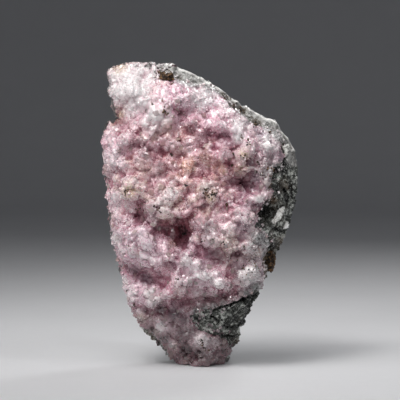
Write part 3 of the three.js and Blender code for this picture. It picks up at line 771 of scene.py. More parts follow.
def druse(name, mesh, widths, **where):
    """Small crystals sprinkled on the mesh, their widths between the two given."""
    places, normals = sprinkled(mesh, **where)
    kinds = rng.choice(len(SMALL_FORMS), len(places), p=SMALL_SHARES)
    turns = turned(normals, 60)
    return crystals(name, SMALL_FORMS, kinds, places, turns, rng.uniform(*widths, len(places)))


def standing(name, mesh, forms, widths, sink, tilt, **where):
    """Crystals that stand on the mesh, sunk into it by a share of their widths."""
    places, normals = sprinkled(mesh, **where)
    sizes = rng.uniform(*widths, len(places))
    kinds = rng.choice(len(forms), len(places))
    sunk = places - sink * sizes[:, None] * normals
    return crystals(name, forms, kinds, sunk, turned(normals, tilt), sizes)


def facing(places, normals):
    """How much each place is on the outer side and towards the front."""
    return exposed(places, normals) * smoothstep(0.5, -0.1, normals[:, 1])


def medium_share(at):
    """The share of the medium crystals that is kept at each place."""
    in_patches = smoothstep(0.45, 0.7, clouds(at, 3.5, 3.0))
    return np.clip(in_patches * (0.5 - 0.4 * glassiness(at)) - 0.5 * smoothness(at), 0, 1)


def fine_share(at):
    """The share of the fine crystals."""
    in_patches = smoothstep(0.5, 0.7, clouds(at, 2.4))
    return np.clip(in_patches * 0.2 + 0.7 * spots(FROST, at) - 0.8 * glassiness(at), 0, 1)


def clear_share(at):
    """The share of the clear crystals."""
    return np.clip(0.05 + 0.8 * glassiness(at) - smoothness(at), 0, 1)


rng = np.random.default_rng(23)
medium = druse(
    "pink_druse",
    crust,
    widths=(0.6, 1.2),
    tries=30000,
    gap=loosely(0.75, 0.4),
    chance=lambda at, out: facing(at, out) * medium_share(at),
    most=9000,
)
rng = np.random.default_rng(24)
fine = druse(
    "fine_druse",
    crust,
    widths=(0.32, 0.65),
    tries=50000,
    gap=loosely(0.42, 0.15),
    chance=lambda at, out: facing(at, out) * fine_share(at),
    most=15500,
)
CLEAR_FORMS = [bevelled(rhomb(), 0.04), bevelled(rhomb(0.8), 0.04)]
rng = np.random.default_rng(25)
clear = standing(
    "clear_crystals",
    crust,
    CLEAR_FORMS,
    widths=(1.5, 2.8),
    sink=0.15,
    tilt=45,
    tries=12000,
    gap=loosely(2.4, 1.2),
    chance=lambda at, out: exposed(at, out) * clear_share(at),
)
knobs = Front([crust, rock], step=0.6, blur=2.0)


# ---------- the rock ----------
def rim(points):
    """How much each point belongs to the pale rim along the upper right, from 0 to 1."""
    off = off_line(RIM_BAND, points) + 3.0 * (clouds(points, 1.8, 7.0) - 0.5)
    back = points[:, 1] + 4.0 * (clouds(points, 2.5, 1.0) - 0.5)
    return smoothstep(4.0, 2.4, off) * smoothstep(12, 9, back)


# Blocks and grains of the broken rock, the lumps and the white crystals, as (size, step).
BLOCKS = ((7.5, 1.3), (3.6, 0.8), (1.9, 0.65), (0.95, 0.45))
LUMP_BLOCKS = ((1.3, 1.1), (0.6, 0.6))
CRYSTAL_BLOCKS = ((1.9, 0.5), (0.8, 0.2))
WAVES = 7  # size of the waves under the blocks
LEAN = 0.9  # how far the face of a block leans, for its step
GAP_DEPTH = 0.5  # how deep the gaps between blocks are, for their step
GAP_WIDTH = 0.18  # and how wide, for their size
UNLIKE = 3.7  # gives neighbouring blocks leans of their own


def fractured(mesh, blocks, rough, low, high, hidden):
    """Breaks a surface into flat-sided blocks and grains, moving each point between low and high.

    It moves less where hidden is nearer to 1.
    """
    points = points_of(mesh)
    normals = read(mesh.vertices, "normal")
    out = np.zeros(len(points))
    for i, point in enumerate(points):
        place = Vector(point)
        out[i] = rough * noise.fractal(place / WAVES, 1.0, 2.0, 3)
        for size, step in blocks:
            near, cells = noise.voronoi(place / size)
            cell = noise.cell_vector(cells[0] * UNLIKE) - Vector((0.5, 0.5, 0.5))
            out[i] += step * cell.x + LEAN * step * cell.dot(place / size - cells[0])
            out[i] -= GAP_DEPTH * step * max(0, 1 - (near[1] - near[0]) / GAP_WIDTH)
    out = np.clip(out, low, high)
    set_points(mesh, inside_box(points + normals * (out * (1 - hidden))[:, None]))
    return mesh


hidden = smoothstep(1.2, 0.4, away(crust_tree, points_of(rock), 3.0))
hidden = np.maximum(hidden, 0.6 * rim(points_of(rock)))
rock = fractured(rock, BLOCKS, rough=0.5, low=-2.0, high=0.35, hidden=hidden)
set_back(rock, lambda points: lined(CRACKS, points))


def clumped(points):
    """How much each point of the rock is in a clump of pale grains, from 0 to 1."""
    front = smoothstep(9, 4, points[:, 1])
    zone = 1.3 * spots(PALE_ROCK, points) * front + 0.35
    zone -= (1.5 * spots(BLACK_ROCK, points) + lined(CRACKS, points)) * front
    zone *= 0.5 + 1.1 * smoothstep(0.3, 0.7, clouds(points, 9.0, 12.0))
    return np.clip(1.15 * zone * smoothstep(0.42, 0.56, clouds(points, 2.0, 9.0)), 0, 1)


SKYLINE_END = 30
SKYLINE_STEP = 0.4
skyline_x = np.arange(-SKYLINE_END, SKYLINE_END, SKYLINE_STEP)
skyline_z = np.full(len(skyline_x), -1.0)
for x, _, z in points_of(rock):
    k = int(round((x + SKYLINE_END) / SKYLINE_STEP))
    if 0 <= k < len(skyline_x):
        skyline_z[k] = max(skyline_z[k], z)


def below_skyline(points):
    """How far each point is below the rock's outline against the sky."""
    return np.interp(points[:, 0], skyline_x, skyline_z) - points[:, 2]


def rock_paint(mesh):
    """Stores the fields that the rock's material reads."""
    points = points_of(mesh)
    front = smoothstep(8, 3, points[:, 1])
    pits = spots(RIM_PITS, points)
    on_rim = rim(points)
    below = below_skyline(points) + 0.8 * (clouds(points, 1.6, 2.0) - 0.5)
    store(
        mesh,
        pale=clumped(points),
        band=on_rim,
        # A painted highlight along the top edge of the rim.
        edge=on_rim * smoothstep(1.1, 0.1, below),
        brown=np.clip(spots(BROWN_ROCK, points) * front + pits, 0, 1),
        # Black rock and pits, and painted shade in the cracks.
        black=np.clip((spots(BLACK_ROCK, points) + lined(CRACKS, points)) * front + 0.8 * pits, 0, 1),
    )


def grain_chance(at, out):
    """Grains are mostly in the pale clumps, and few are on the rim, by the crust or at the top left."""
    clear_of_crust = away(crust_tree, at, 1.0) > 0.5
    corner = (at[:, 2] > 87) & (at[:, 0] < -16)
    return clear_of_crust * ~corner * np.clip(0.16 + 1.1 * clumped(at) - 0.9 * rim(at), 0, 1)


GRAIN_SHARES = [0.4, 0.5, 0.1]
rng = np.random.default_rng(26)
places, normals = sprinkled(
    rock,
    tries=70000,
    gap=loosely(0.6, 0.7),
    chance=grain_chance,
    most=15500,
)
kinds = rng.choice(len(SMALL_FORMS), len(places), p=GRAIN_SHARES)
sizes = 0.5 + 1.1 * rng.random(len(places)) ** 2
grains = crystals("rock_grains", SMALL_FORMS, kinds, places, turned(normals, 80), sizes)


def stray_chance(at, out):
    """Small crystals of the crust have grown on the rock too, in patches, the most of them beside it."""
    off = away(crust_tree, at, 8.0)
    patchy = 6.0 + 6.0 * smoothstep(-2, 2, at[:, 1])
    near = smoothstep(2.6, 0.5, off + patchy * (clouds(at, 2.5, 6.0) - 0.48))
    return (off > 0.3) * smoothstep(16, 11, at[:, 1]) * np.maximum(near, spots(COVERED, at))


rng = np.random.default_rng(27)
strays = druse(
    "stray_druse",
    rock,
    widths=(0.5, 1.4),
    tries=60000,
    gap=loosely(0.5, 0.5),
    chance=stray_chance,
)

# White crystals along the knife edge of the rim.
CREST_X = np.arange(-17, 28.6, 0.16)  # places along the edge
CREST_Y = np.arange(-6, 8, 0.5)  # where the edge is looked for
CREST_SHARE = 0.4  # of the places that get a crystal
CREST_STRAY = (0.15, 0.5, 0.15)  # how far they stray from the edge
ABOVE = 120
CREST_FORMS = [rhomb(0.6), bevelled(rhomb(0.7), 0.05), rhomb()]
rng = np.random.default_rng(28)
rock_top = tree_of(rock)
places = []
for x in CREST_X:
    best = None
    for y in CREST_Y:
        hit = rock_top.ray_cast(Vector((x, y, ABOVE)), Vector((0, 0, -1)))[0]
        if hit is not None and (best is None or hit.z > best.z):
            best = hit
    if best is not None and rng.random() < CREST_SHARE:
        places.append(np.array(best) + rng.normal(size=3) * CREST_STRAY)
places = inside_box(np.array(places) - (0, 0, 0.4))
outward = np.tile([0.25, -0.3, 0.9], (len(places), 1))
kinds = rng.choice(len(CREST_FORMS), len(places))
turns = turned(outward, 70)
crest = crystals("rim_crystals", CREST_FORMS, kinds, places, turns, rng.uniform(0.5, 1.1, len(places)))

# ---------- specks of oxide on the crust, and the oxide lumps ----------
SPECK_SPREAD = 0.26  # of the groups that give none
SPECK_NUMBER = 4
rng = np.random.default_rng(29)
crust_top = tree_of(crust)
places, normals = [], []
for x, z, spread, number in [[x, z, SPECK_SPREAD, SPECK_NUMBER] for x, z in SPECKS] + CLUSTERS:
    for _ in range(number):
        at = x + rng.normal() * spread, z + rng.normal() * spread
        found = [seen(tree, *at) for tree in (crust_top, rock_top)]
        found = [pair for pair in found if pair[0] is not None]
        if found:
            hit, normal = min(found, key=lambda pair: pair[0].y)
            places.append(hit[:])
            normals.append(normal[:])
places, normals = np.array(places), np.array(normals)
sizes = rng.uniform(0.4, 0.85, len(places))
kinds = rng.choice(len(SMALL_FORMS), len(places))
specks = crystals("oxide_specks", SMALL_FORMS, kinds, places, turned(normals, 80), sizes)


def lump(node, forward):
    """A broken lump of oxide, moved forward out of its socket."""
    mesh = remeshed(node, 0.2, 2)
    set_points(mesh, points_of(mesh) - (0, forward, 0))
    return fractured(mesh, LUMP_BLOCKS, rough=0.5, low=-1.1, high=0.2, hidden=0)


# ---------- the large white crystals ----------
CLEAVAGE = 0.42  # spacing of the steps on a white crystal
CLEAVAGE_RISE = 0.16
LONGEST_EDGE = 0.22  # of a white crystal's mesh
WHITE_SHIFT = np.array([-0.6, -0.7, 0])  # out of its socket
SPLINTER_FORMS = [bevelled(rhomb(0.7), 0.05), bevelled(rhomb(), 0.05)]


def rolled(points, degrees):
    """The points of a long crystal turned about its own long axis."""
    middle = points.mean(0)
    axis = np.linalg.svd(points - middle, full_matrices=False)[2][0]
    turn = Matrix.Rotation(math.radians(degrees), 3, Vector(axis if axis[2] > 0 else -axis))
    return (points - middle) @ np.array(turn).T + middle


def cleaved(node, along, roll):
    """A white crystal with the fine steps of its cleavage running across the direction along."""
    edit = bmesh.new()
    edit.from_mesh(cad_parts[node].data)
    bmesh.ops.remove_doubles(edit, verts=edit.verts, dist=0.001 * MM)
    bmesh.ops.triangulate(edit, faces=edit.faces)
    for _ in range(4):
        long = [e for e in edit.edges if e.calc_length() > LONGEST_EDGE * MM]
        bmesh.ops.subdivide_edges(edit, edges=long, cuts=1)
        bmesh.ops.triangulate(edit, faces=edit.faces)
    mesh = bpy.data.meshes.new(node)
    edit.to_mesh(mesh)
    edit.free()
    points = points_of(mesh)
    normals = read(mesh.vertices, "normal")
    steps = points @ (np.array(along) / np.linalg.norm(along)) / CLEAVAGE + 0.5 * clouds(points, 1.3)
    sharp = CLEAVAGE_RISE * smoothstep(0.3, 0.5, clouds(points, 0.9, 4.0))
    rise = sharp * (steps - np.floor(steps)) ** 3 - 0.12
    set_points(mesh, rolled(points + normals * rise[:, None], roll) + WHITE_SHIFT)
    return fractured(mesh, CRYSTAL_BLOCKS, rough=0.1, low=-0.5, high=0.1, hidden=0)


def splinters(name, mesh, most, gap):
    """Small crystals that stand on a larger one, or on a lump."""
    return standing(
        name,
        mesh,
        SPLINTER_FORMS,
        widths=(0.6, 1.2),
        sink=0.25,
        tilt=55,
        tries=60 * most,
        gap=lambda at: np.full(len(at), gap),
        chance=lambda at, out: out[:, 1] < 0.6,
        most=most,
    )


# ---------- materials ----------
def paint(mesh):
    """Stores the fields that the calcite's material reads."""
    points = points_of(mesh)
    x, y, z = points.T
    high = body.relief(points)
    near = knobs.relief(points)
    # Painted light on the tops of the knobs, which goes into the frost field.
    tops = 0.2 * smoothstep(0.5, 2.6, high) + 0.15 * smoothstep(0.1, 0.9, near)
    # Painted shade in the hollows: wine red in the table's spots, and in the deeper hollows.
    in_spots = spots(WINE, points) * smoothstep(1.4, -2.6, high)
    in_hollows = 0.55 * smoothstep(-0.8, -4.0, high)
    ragged = 14.0 * (clouds(points, 3.0, 15.0) - 0.5) + 5.0 * (clouds(points, 0.9, 4.0) - 0.5)
    at_back = 0.9 * smoothstep(1.5, 2.5, y + ragged)
    off_rim = off_line(RIM_BAND, points) - np.interp(x, *zip(*RIM_WIDTH))
    by_rim = 0.9 * smoothstep(0.6, -0.6, off_rim) * smoothstep(-9, -6, x)
    low_right = smoothstep(82, 74, z) * smoothstep(6, 16, x)
    store(
        mesh,
        # White frost, and the painted light on the knob tops.
        frost=np.clip(spots(FROST, points) + tops, 0, 1.3),
        rose=spots(ROSE, points),
        peach=spots(PEACH, points),
        tan=spots(TAN, points),
        grey=spots(GREY, points),
        deep=np.clip(np.maximum(in_spots, in_hollows), 0, 1),
        # Painted shade in the folds, and the rock's colour at the crust's back edge.
        dark=np.maximum(spots(DARK, points), at_back),
        band=np.max([by_rim, spots(STREAKY, points), at_back], axis=0),
        lilac=spots(LILAC, points),
        glassy=glassiness(points),
        smooth=smoothness(points),
        thin=smoothstep(2.6, 0.5, away(rock_tree, points, 3.0)) * low_right,
        # Painted shade in the folds between the lumps.
        fold=smoothstep(0.0, -1.1, near),
        # Painted shade towards the foot of the crust, less where more light is thrown back.
        dusk=smoothstep(27, 6, z) * (1 - 0.8 * spots(LIT, points)),
        lit=spots(LIT, points),
    )


def colour(red, green, blue):
    """A linear colour from the 0 to 255 values that a screen shows."""
    out = []
    for part in (red, green, blue):
        share = part / 255
        out.append(share / 12.92 if share <= 0.04045 else ((share + 0.055) / 1.055) ** 2.4)
    return (*out, 1)


class Finish:
    """A node material, with short calls for the nodes that it needs and its colour so far in tint."""

    def __init__(self, name, **constants):
        self.material = bpy.data.materials.new(name)
        self.material.use_nodes = True
        self.nodes = self.material.node_tree.nodes
        self.links = self.material.node_tree.links
        self.shader = next(n for n in self.nodes if n.type == "BSDF_PRINCIPLED")
        self.place = self.node("TexCoord", {}).outputs["Object"]
        self.tint = None
        for socket, value in constants.items():
            self.shader.inputs[socket.replace("_", " ")].default_value = value

    def give(self, socket, value):
        """Links another node's output to the socket, or sets its value."""
        if isinstance(value, bpy.types.NodeSocket):
            self.links.new(value, socket)
        else:
            socket.default_value = value

    def node(self, kind, given, **settings):
        """A new node with its settings, and with its inputs given by name or by number."""
        node = self.nodes.new("ShaderNode" + kind)
        for name, value in settings.items():
            setattr(node, name, value)
        for name, value in given.items():
            self.give(node.inputs[name], value)
        return node

    def math(self, operation, a, b, clamp=False):
        return self.node("Math", {0: a, 1: b}, operation=operation, use_clamp=clamp).outputs[0]

    def times(self, a, b):
        return self.math("MULTIPLY", a, b)

    def vector(self, operation, a, b, out="Vector"):
        return self.node("VectorMath", {0: a, 1: b}, operation=operation).outputs[out]

    def field(self, name, share=None):
        """The field of that name, multiplied by the share if there is one."""
        felt = self.node("Attribute", {}, attribute_name=name).outputs["Fac"]
        return felt if share is None else self.times(felt, share)

    def noise(self, size, detail=3, offset=None):
        """Noise of about the given size in millimetres, from 0 to 1."""
        place = self.place if offset is None else self.vector("ADD", self.place, (offset,) * 3)
        given = {"Vector": place, "Scale": 1 / (size * MM), "Detail": detail, "Roughness": 0.6}
        return self.node("TexNoise", given).outputs["Fac"]

    def cells(self, size):
        """A pattern of cells of about the given size in millimetres."""
        return self.node("TexVoronoi", {"Vector": self.place, "Scale": 1 / (size * MM)}).outputs

    def facets(self, size):
        """A height that rises across each cell in the cell's own direction, as small crystal faces do."""
        cells = self.cells(size)
        within = self.vector("SUBTRACT", self.place, cells["Position"])
        leaning = self.vector("SUBTRACT", cells["Color"], (0.5, 0.5, 0.5))
        return self.vector("DOT_PRODUCT", within, leaning, "Value")

    def crevices(self, reach):
        """Near 0 in narrow gaps and 1 in the open, as far as reach millimetres away."""
        return self.node("AmbientOcclusion", {"Distance": reach * MM}, samples=4).outputs["AO"]

    def span(self, value, low, high, out_low=0.0, out_high=1.0):
        """A smooth change from out_low at low to out_high at high."""
        given = dict(enumerate((value, low, high, out_low, out_high)))
        return self.node("MapRange", given, interpolation_type="SMOOTHSTEP").outputs[0]

    def mix(self, share, a, b, blend="MIX"):
        return self.node("Mix", {0: share, 6: a, 7: b}, data_type="RGBA", blend_type=blend).outputs[2]

    def blend(self, share, first, second):
        """From the first colour to the second."""
        return self.mix(share, colour(*first), colour(*second))

    def over(self, share, new):
        """Lays a share of a new colour over the tint."""
        self.tint = self.mix(share, self.tint, colour(*new) if isinstance(new, tuple) else new)

    def stain(self, share, new):
        """Darkens a share of the tint by a colour."""
        self.over(share, self.mix(1.0, self.tint, colour(*new), "MULTIPLY"))

    def bump(self, height, distance, strength, under=None):
        given = {"Height": height, "Distance": distance * MM, "Strength": strength}
        if under is not None:
            given["Normal"] = under
        return self.node("Bump", given).outputs["Normal"]

    def shade(self, **sockets):
        """The finished material, with these sockets of its shader given."""
        for name, value in sockets.items():
            self.give(self.shader.inputs[name.replace("_", " ")], value)
        return self.material


# Painted shade: the colour that darkens the foot of the crust, where less light reaches.
DUSK = (147, 131, 136)  # darkens the foot of the crust
# The crystal faces that are too small for the mesh, as size, height and strength.
FACETS = ((1.6, 1.0, 0.6), (0.7, 0.8, 0.5), (0.38, 0.8, 0.25))


def calcite(name, clearness, milky):
    """Pink calcite: clearness is how much light goes through it, and milky how much is scattered inside."""
    f = Finish(
        name,
        IOR=1.66,
        Subsurface_Weight=milky,
        Subsurface_Radius=(1.0, 0.7, 0.75),
        Subsurface_Scale=0.9 * MM,
        Coat_Weight=1.0,
        Coat_Roughness=0.05,
        Coat_IOR=1.55,
    )
    own = f.field("own")
    patch = f.noise(4.0)
    other = f.noise(3.1, 2, offset=5.3)
    fine = f.noise(0.6, 2)
    grain = f.noise(0.32, 1, offset=3.3)
    deeper = f.span(patch, 0.38, 0.62)
    f.tint = f.blend(deeper, (244, 210, 216), (233, 180, 190))
    f.over(f.span(other, 0.5, 0.68, 0, 0.75), (234, 204, 186))
    f.over(f.field("lilac", 0.8), f.blend(deeper, (247, 218, 232), (233, 186, 207)))
    f.over(f.field("rose", f.span(patch, 0.3, 0.55, 0.2, 1)), (230, 156, 182))
    f.over(f.field("grey", f.span(fine, 0.3, 0.6)), (196, 182, 180))
    # Painted light where more light is thrown back out of the folds.
    f.over(f.field("lit", f.span(other, 0.35, 0.6, 0.2, 0.85)), (252, 220, 234))
    # White frost, with painted light on the knob tops.
    frosted = f.math("ADD", f.field("frost"), f.span(fine, 0.35, 0.7, -0.35, 0.3), clamp=True)
    f.over(frosted, (245, 238, 238))
    f.over(f.field("peach", f.span(patch, 0.25, 0.55)), (222, 164, 134))
    f.over(f.field("tan", f.span(fine, 0.3, 0.6)), (214, 188, 146))
    f.over(f.span(own, 0.75, 1.0, 0, 0.6), (250, 236, 238))
    f.over(f.span(own, 0.25, 0.0, 0, 0.3), (208, 164, 172))

    # Dull and bright grains, fewer of them on glassy and frosted parts.
    sugary = f.math("SUBTRACT", 1.0, f.field("glassy", 0.6))
    bare = f.math("SUBTRACT", sugary, f.field("frost", 0.5), clamp=True)
    f.stain(f.times(f.span(grain, 0.47, 0.35, 0, 0.85), bare), (208, 162, 177))
    f.over(f.times(f.span(grain, 0.52, 0.64, 0, 0.4), sugary), (255, 246, 250))

    # Painted shade in the gaps and folds, paler where light is thrown back out of them.
    unlit = f.math("SUBTRACT", 1.0, f.field("lit", 0.55))
    unlit = f.math("SUBTRACT", unlit, f.field("frost", 0.35), clamp=True)
    f.stain(f.times(f.span(f.crevices(1.5), 0.75, 0.2, 0, 0.9), unlit), (198, 146, 162))
    f.stain(f.field("fold", f.times(unlit, 0.75)), (204, 148, 168))

    f.over(f.field("thin", f.span(patch, 0.35, 0.6)), (164, 140, 152))
    # Painted shade in the hollows, wine red or plum.
    f.over(f.field("deep"), f.blend(f.field("lilac"), (134, 66, 76), (124, 68, 92)))
    f.over(f.field("band"), f.blend(f.span(fine, 0.35, 0.62), (104, 102, 100), (196, 194, 193)))
    # Painted shade (gloom) in the folds, or the rock's colour (stone) where the band field is set.
    gloom = f.blend(f.field("lilac"), (100, 56, 66), (102, 58, 80))
    stone = f.blend(f.span(fine, 0.42, 0.62), (36, 33, 31), (92, 91, 87))
    f.over(f.field("dark"), f.mix(f.field("band"), gloom, stone))
    # Painted shade towards the foot of the crust.
    f.stain(f.field("dusk"), DUSK)
    pepper = f.span(f.cells(1.0)["Distance"], 0.2, 0.12)
    f.over(f.times(pepper, f.span(f.noise(5, 2, offset=9.1), 0.45, 0.6)), (70, 50, 46))

    rough = f.span(f.math("ADD", f.times(own, 0.5), f.times(fine, 0.5)), 0.2, 0.8, 0.03, 0.16)
    normal = None
    for size, height, strength in FACETS:
        normal = f.bump(f.facets(size), height / MM, strength, normal)
    normal = f.bump(fine, 0.08, 0.3, normal)
    if clearness > 0:
        rugged = f.math("SUBTRACT", 1.0, f.field("smooth"))
        f.shade(Transmission_Weight=f.times(rugged, f.span(patch, 0.3, 0.6, 0, clearness)))
    return f.shade(Base_Color=f.tint, Roughness=rough, Normal=normal)


def clear_calcite():
    f = Finish("clear_calcite", IOR=1.6, Transmission_Weight=0.6)
    own = f.field("own")
    f.tint = f.blend(f.span(own, 0.3, 0.7), (241, 196, 202), (243, 218, 212))
    f.over(f.field("grey"), (222, 206, 204))
    # White frost, with painted light on the knob tops.
    f.over(f.field("frost"), (242, 232, 232))
    f.over(f.field("peach"), (236, 172, 132))
    # Painted shade in the hollows.
    f.over(f.field("deep"), (190, 112, 130))
    # Painted shade towards the foot of the crust.
    f.stain(f.field("dusk", 0.7), DUSK)
    normal = f.bump(f.noise(0.5, 2), 0.05, 0.6)
    return f.shade(Base_Color=f.tint, Roughness=f.span(own, 0, 1, 0.03, 0.18), Normal=normal)


def rock_finish(name, grainy):
    """The rock's material. Each grain has its own brightness if grainy, or else each cell of a pattern."""
    f = Finish(name, IOR=1.5)
    first, second, third = f.node("SeparateColor", {0: f.cells(0.8)["Color"]}).outputs[:]
    own = f.field("own") if grainy else first
    f.tint = f.blend(f.span(f.noise(5), 0.35, 0.65), (20, 20, 18), (56, 58, 53))
    f.over(f.span(f.noise(14, 4, offset=2.7), 0.52, 0.7, 0, 0.75), (70, 56, 42))
    f.over(f.span(third, 0.7, 0.95, 0, 0.7), (84, 87, 80))
    f.over(f.field("pale", 0.8), (92, 96, 90))
    bright = f.span(f.math("ADD", own, f.field("pale", 0.55)), 0.75, 1.05)
    f.over(bright, f.blend(second, (118, 121, 114), (206, 208, 202)))
    streak = f.span(f.noise(1.6), 0.36, 0.6)
    f.over(f.field("band"), f.blend(streak, (92, 90, 87), (172, 170, 167)))
    f.over(f.field("brown"), (92, 70, 46))
    # Painted highlight along the top edge of the rim.
    f.over(f.field("edge"), (234, 232, 229))
    # Black rock and pits, with painted shade in the cracks.
    f.over(f.field("black"), (12, 11, 9))
    # Painted shade in the rock's crevices.
    f.over(f.span(f.crevices(1.0), 0.7, 0.2, 0, 0.75), (10, 10, 8))
    f.over(f.span(f.noise(0.4, 1, offset=3.3), 0.6, 0.7, 0, 0.6), (220, 222, 216))
    normal = f.bump(f.noise(0.45, 4), 0.18, 0.8)
    return f.shade(Base_Color=f.tint, Roughness=f.span(second, 0, 1, 0.2, 0.7), Normal=normal)


def white_calcite():
    f = Finish("white_calcite", IOR=1.66, Coat_Weight=0.6, Coat_Roughness=0.1)
    patch = f.noise(1.6)
    f.tint = f.blend(f.span(patch, 0.35, 0.65), (250, 250, 247), (224, 222, 217))
    # Painted shade in the crevices.
    f.over(f.span(f.crevices(0.7), 0.6, 0.2, 0, 0.7), (96, 84, 70))
    normal = f.bump(f.noise(0.3), 0.06, 0.6)
    return f.shade(Base_Color=f.tint, Roughness=f.span(patch, 0.3, 0.7, 0.15, 0.4), Normal=normal)


def oxide():
    f = Finish("iron_oxide", IOR=1.6)
    patch = f.noise(1.1)
    f.tint = f.blend(f.span(patch, 0.45, 0.6), (46, 31, 22), (138, 102, 64))
    f.over(f.span(f.cells(0.4)["Distance"], 0.25, 0.6, 0, 0.6), (14, 10, 8))
    normal = f.bump(f.noise(0.3, 4), 0.12, 0.9)
    return f.shade(Base_Color=f.tint, Roughness=f.span(patch, 0.3, 0.7, 0.5, 0.85), Normal=normal)


# ---------- the pieces ----------
def piece(name, mesh, node, slot, material, smooth_under=None):
    """Adds a finished piece. Edges sharper than smooth_under degrees stay sharp, and all do without it."""
    out = link(name, mesh)
    mesh.materials.clear()
    mesh.materials.append(material)
    if smooth_under is None:
        mesh.shade_flat()
    else:
        mesh.shade_smooth()
        mesh.set_sharp_from_angle(angle=math.radians(smooth_under))
    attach(out, "root")
    if node:
        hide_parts(node)


pink = calcite("pink_calcite", 0.25, 0.22)
dusted = calcite("pink_druse", 0.0, 0.0)
white = white_calcite()
rust = oxide()
for mesh in (crust, medium, fine, clear, strays):
    paint(mesh)
# The stray crystals are whiter and greyer the further they are from the crust.
further = smoothstep(0.7, 2.0, away(crust_tree, points_of(strays), 3.0))
store(strays, frost=0.7 + 0.7 * further, band=0.4 * further)
for field in ("rose", "lilac", "fold", "deep", "thin"):
    store(strays, **{field: np.zeros(len(strays.vertices))})
for mesh in (rock, grains):
    rock_paint(mesh)
piece("pink_calcite", crust, "pink_crust", "pink_calcite", pink, 38)
piece("pink_druse", medium, "pink_crust", "pink_calcite", dusted, 180)
piece("fine_druse", fine, "pink_crust", "pink_calcite", dusted)
piece("clear_crystals", clear, "pink_crust", "pink_calcite", clear_calcite())
piece("stray_druse", strays, "pink_crust", "pink_calcite", dusted)
piece("rim_crystals", crest, "matrix", "white_calcite", white)
piece("oxide_specks", specks, None, "iron_oxide", rust)
piece("host_rock", rock, "matrix", "rock", rock_finish("host_rock", False), 35)
piece("rock_grains", grains, "matrix", "rock", rock_finish("rock_grains", True))
# The white crystals: name, direction across their cleavage, turn in degrees, and number of splinters.
WHITES = (
    ("blade", (0.5, 0.3, -0.8), -36, 6),
    ("bead", (0.6, 0.2, 0.8), -10, 4),
    ("wedge", (0.8, 0.3, 0.4), 0, 4),
)
for name, along, roll, count in WHITES:
    node = "white_" + name
    grown = cleaved(node, along, roll)
    small = splinters(name + "_splinters", grown, count, 0.9)
    piece(name + "_splinters", small, node, "white_calcite", white)
    piece(name + "_crystal", grown, node, "white_calcite", white, 20)
OXIDE_SPLINTERS = 60
for name, forward in (("clot", 0.9), ("lens", 0)):
    node = "oxide_" + name
    grown = lump(node, forward)
    small = splinters(name + "_splinters", grown, OXIDE_SPLINTERS, 0.55)
    piece(name + "_splinters", small, node, "iron_oxide", rust)
    piece(name + "_of_oxide", grown, node, "iron_oxide", rust, 35)

# ---------- floor, light and camera ----------
FLOOR_REACH = 900
FLOOR_CURVE = 500  # radius of the curve up to the wall
FLOOR_STEPS = 12
FLOOR_SIDES = 96
WALL_TOP = 1400
bowl = [(r, 0) for r in (0, 150, 400, FLOOR_REACH)]
for k in range(1, FLOOR_STEPS + 1):
    turn = math.pi / 2 * k / FLOOR_STEPS
    bowl.append((FLOOR_REACH + FLOOR_CURVE * math.sin(turn), FLOOR_CURVE * (1 - math.cos(turn))))
bowl.append((FLOOR_REACH + FLOOR_CURVE, WALL_TOP))
edit = bmesh.new()
ring = [edit.verts.new((r * MM, 0, h * MM)) for r, h in bowl]
line = [edit.edges.new(pair) for pair in zip(ring, ring[1:])]
bmesh.ops.spin(
    edit,
    geom=ring + line,
    axis=(0, 0, 1),
    cent=(0, 0, 0),
    angle=math.tau,
    steps=FLOOR_SIDES,
    use_merge=True,
)
bmesh.ops.remove_doubles(edit, verts=edit.verts, dist=0.01 * MM)
bmesh.ops.recalc_face_normals(edit, faces=edit.faces)
floor_mesh = bpy.data.meshes.new("floor")
edit.to_mesh(floor_mesh)
edit.free()
floor = link("floor", floor_mesh)
floor_mesh.shade_smooth()
plain = Finish("floor", IOR=1.45)
plain.shade(
    Base_Color=plain.blend(plain.noise(40, 2), (203, 203, 205), (208, 208, 210)),
    Roughness=plain.span(plain.noise(3, 2), 0.3, 0.7, 0.7, 0.8),
)
floor_mesh.materials.append(plain.material)

world = bpy.data.worlds.new("studio")
world.use_nodes = True
background = world.node_tree.nodes["Background"]
background.inputs["Color"].default_value = (0.92, 0.95, 1.0, 1)
background.inputs["Strength"].default_value = 0.12
bpy.context.scene.world = world
bpy.context.scene.view_settings.view_transform = "Standard"

WHITE = (1.0, 1.0, 1.0)
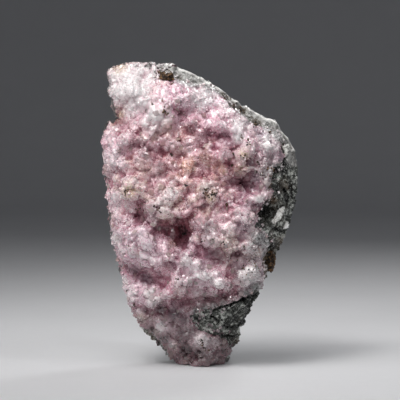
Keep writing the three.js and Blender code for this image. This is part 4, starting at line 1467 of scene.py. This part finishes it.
# Name, place, what it is aimed at, width, watts, spread in degrees and tint.
LAMPS = [
    ("key", (-230, -260, 560), (-8, 0, 81), 220, 0.12, 40, (1.0, 0.99, 0.975)),
    ("top", (-80, -120, 620), (0, 0, 60), 260, 0.092, 60, WHITE),
    ("front", (-60, -620, 300), (0, 0, 50), 320, 0.124, 120, (1.0, 0.99, 0.98)),
    ("right", (420, -300, 380), (0, 0, 50), 80, 0.14, 120, (0.95, 0.975, 1.0)),
    ("rim", (200, 300, 480), (0, 0, 60), 120, 0.267, 120, WHITE),
    ("left", (-520, -160, 240), (0, 0, 60), 260, 0.18, 120, WHITE),
    ("low", (-300, -560, 110), (-10, 0, 40), 160, 0.04, 60, WHITE),
]
# Small lamps that only make the crystal faces sparkle.
SPARKS = [(-330, -420, 330), (140, -480, 420), (-120, -380, 560), (300, -220, 560), (-420, -180, 520)]
LAMPS += [(f"spark_{k}", place, (0, 0, 55), 26, 0.1, 120, WHITE) for k, place in enumerate(SPARKS, 1)]
for name, place, aim, size, power, spread, tint in LAMPS:
    light = bpy.data.lights.new(name, "AREA")
    light.shape = "DISK"
    light.size = size * MM
    light.energy = power
    light.spread = math.radians(spread)
    light.color = tint
    lamp = bpy.data.objects.new(name, light)
    lamp.location = Vector(place) * MM
    lamp.rotation_euler = (Vector(aim) * MM - lamp.location).to_track_quat("-Z", "Y").to_euler()
    lamp.visible_camera = False
    bpy.context.scene.collection.objects.link(lamp)

LENS = 135
SENSOR = 36
ELEVATION = math.radians(2.5)
FIELD = 119.6  # width of the picture at the specimen
AIM = Vector((0.2, 0, 49.1)) * MM
camera_data = bpy.data.cameras.new("camera")
camera_data.lens = LENS
camera_data.sensor_width = SENSOR
camera_data.clip_start = 0.01
camera = bpy.data.objects.new("camera", camera_data)
reach = LENS * FIELD / SENSOR * MM
camera.location = AIM + reach * Vector((0, -math.cos(ELEVATION), math.sin(ELEVATION)))
camera.rotation_euler = (AIM - camera.location).to_track_quat("-Z", "Y").to_euler()
bpy.context.scene.collection.objects.link(camera)
bpy.context.scene.camera = camera
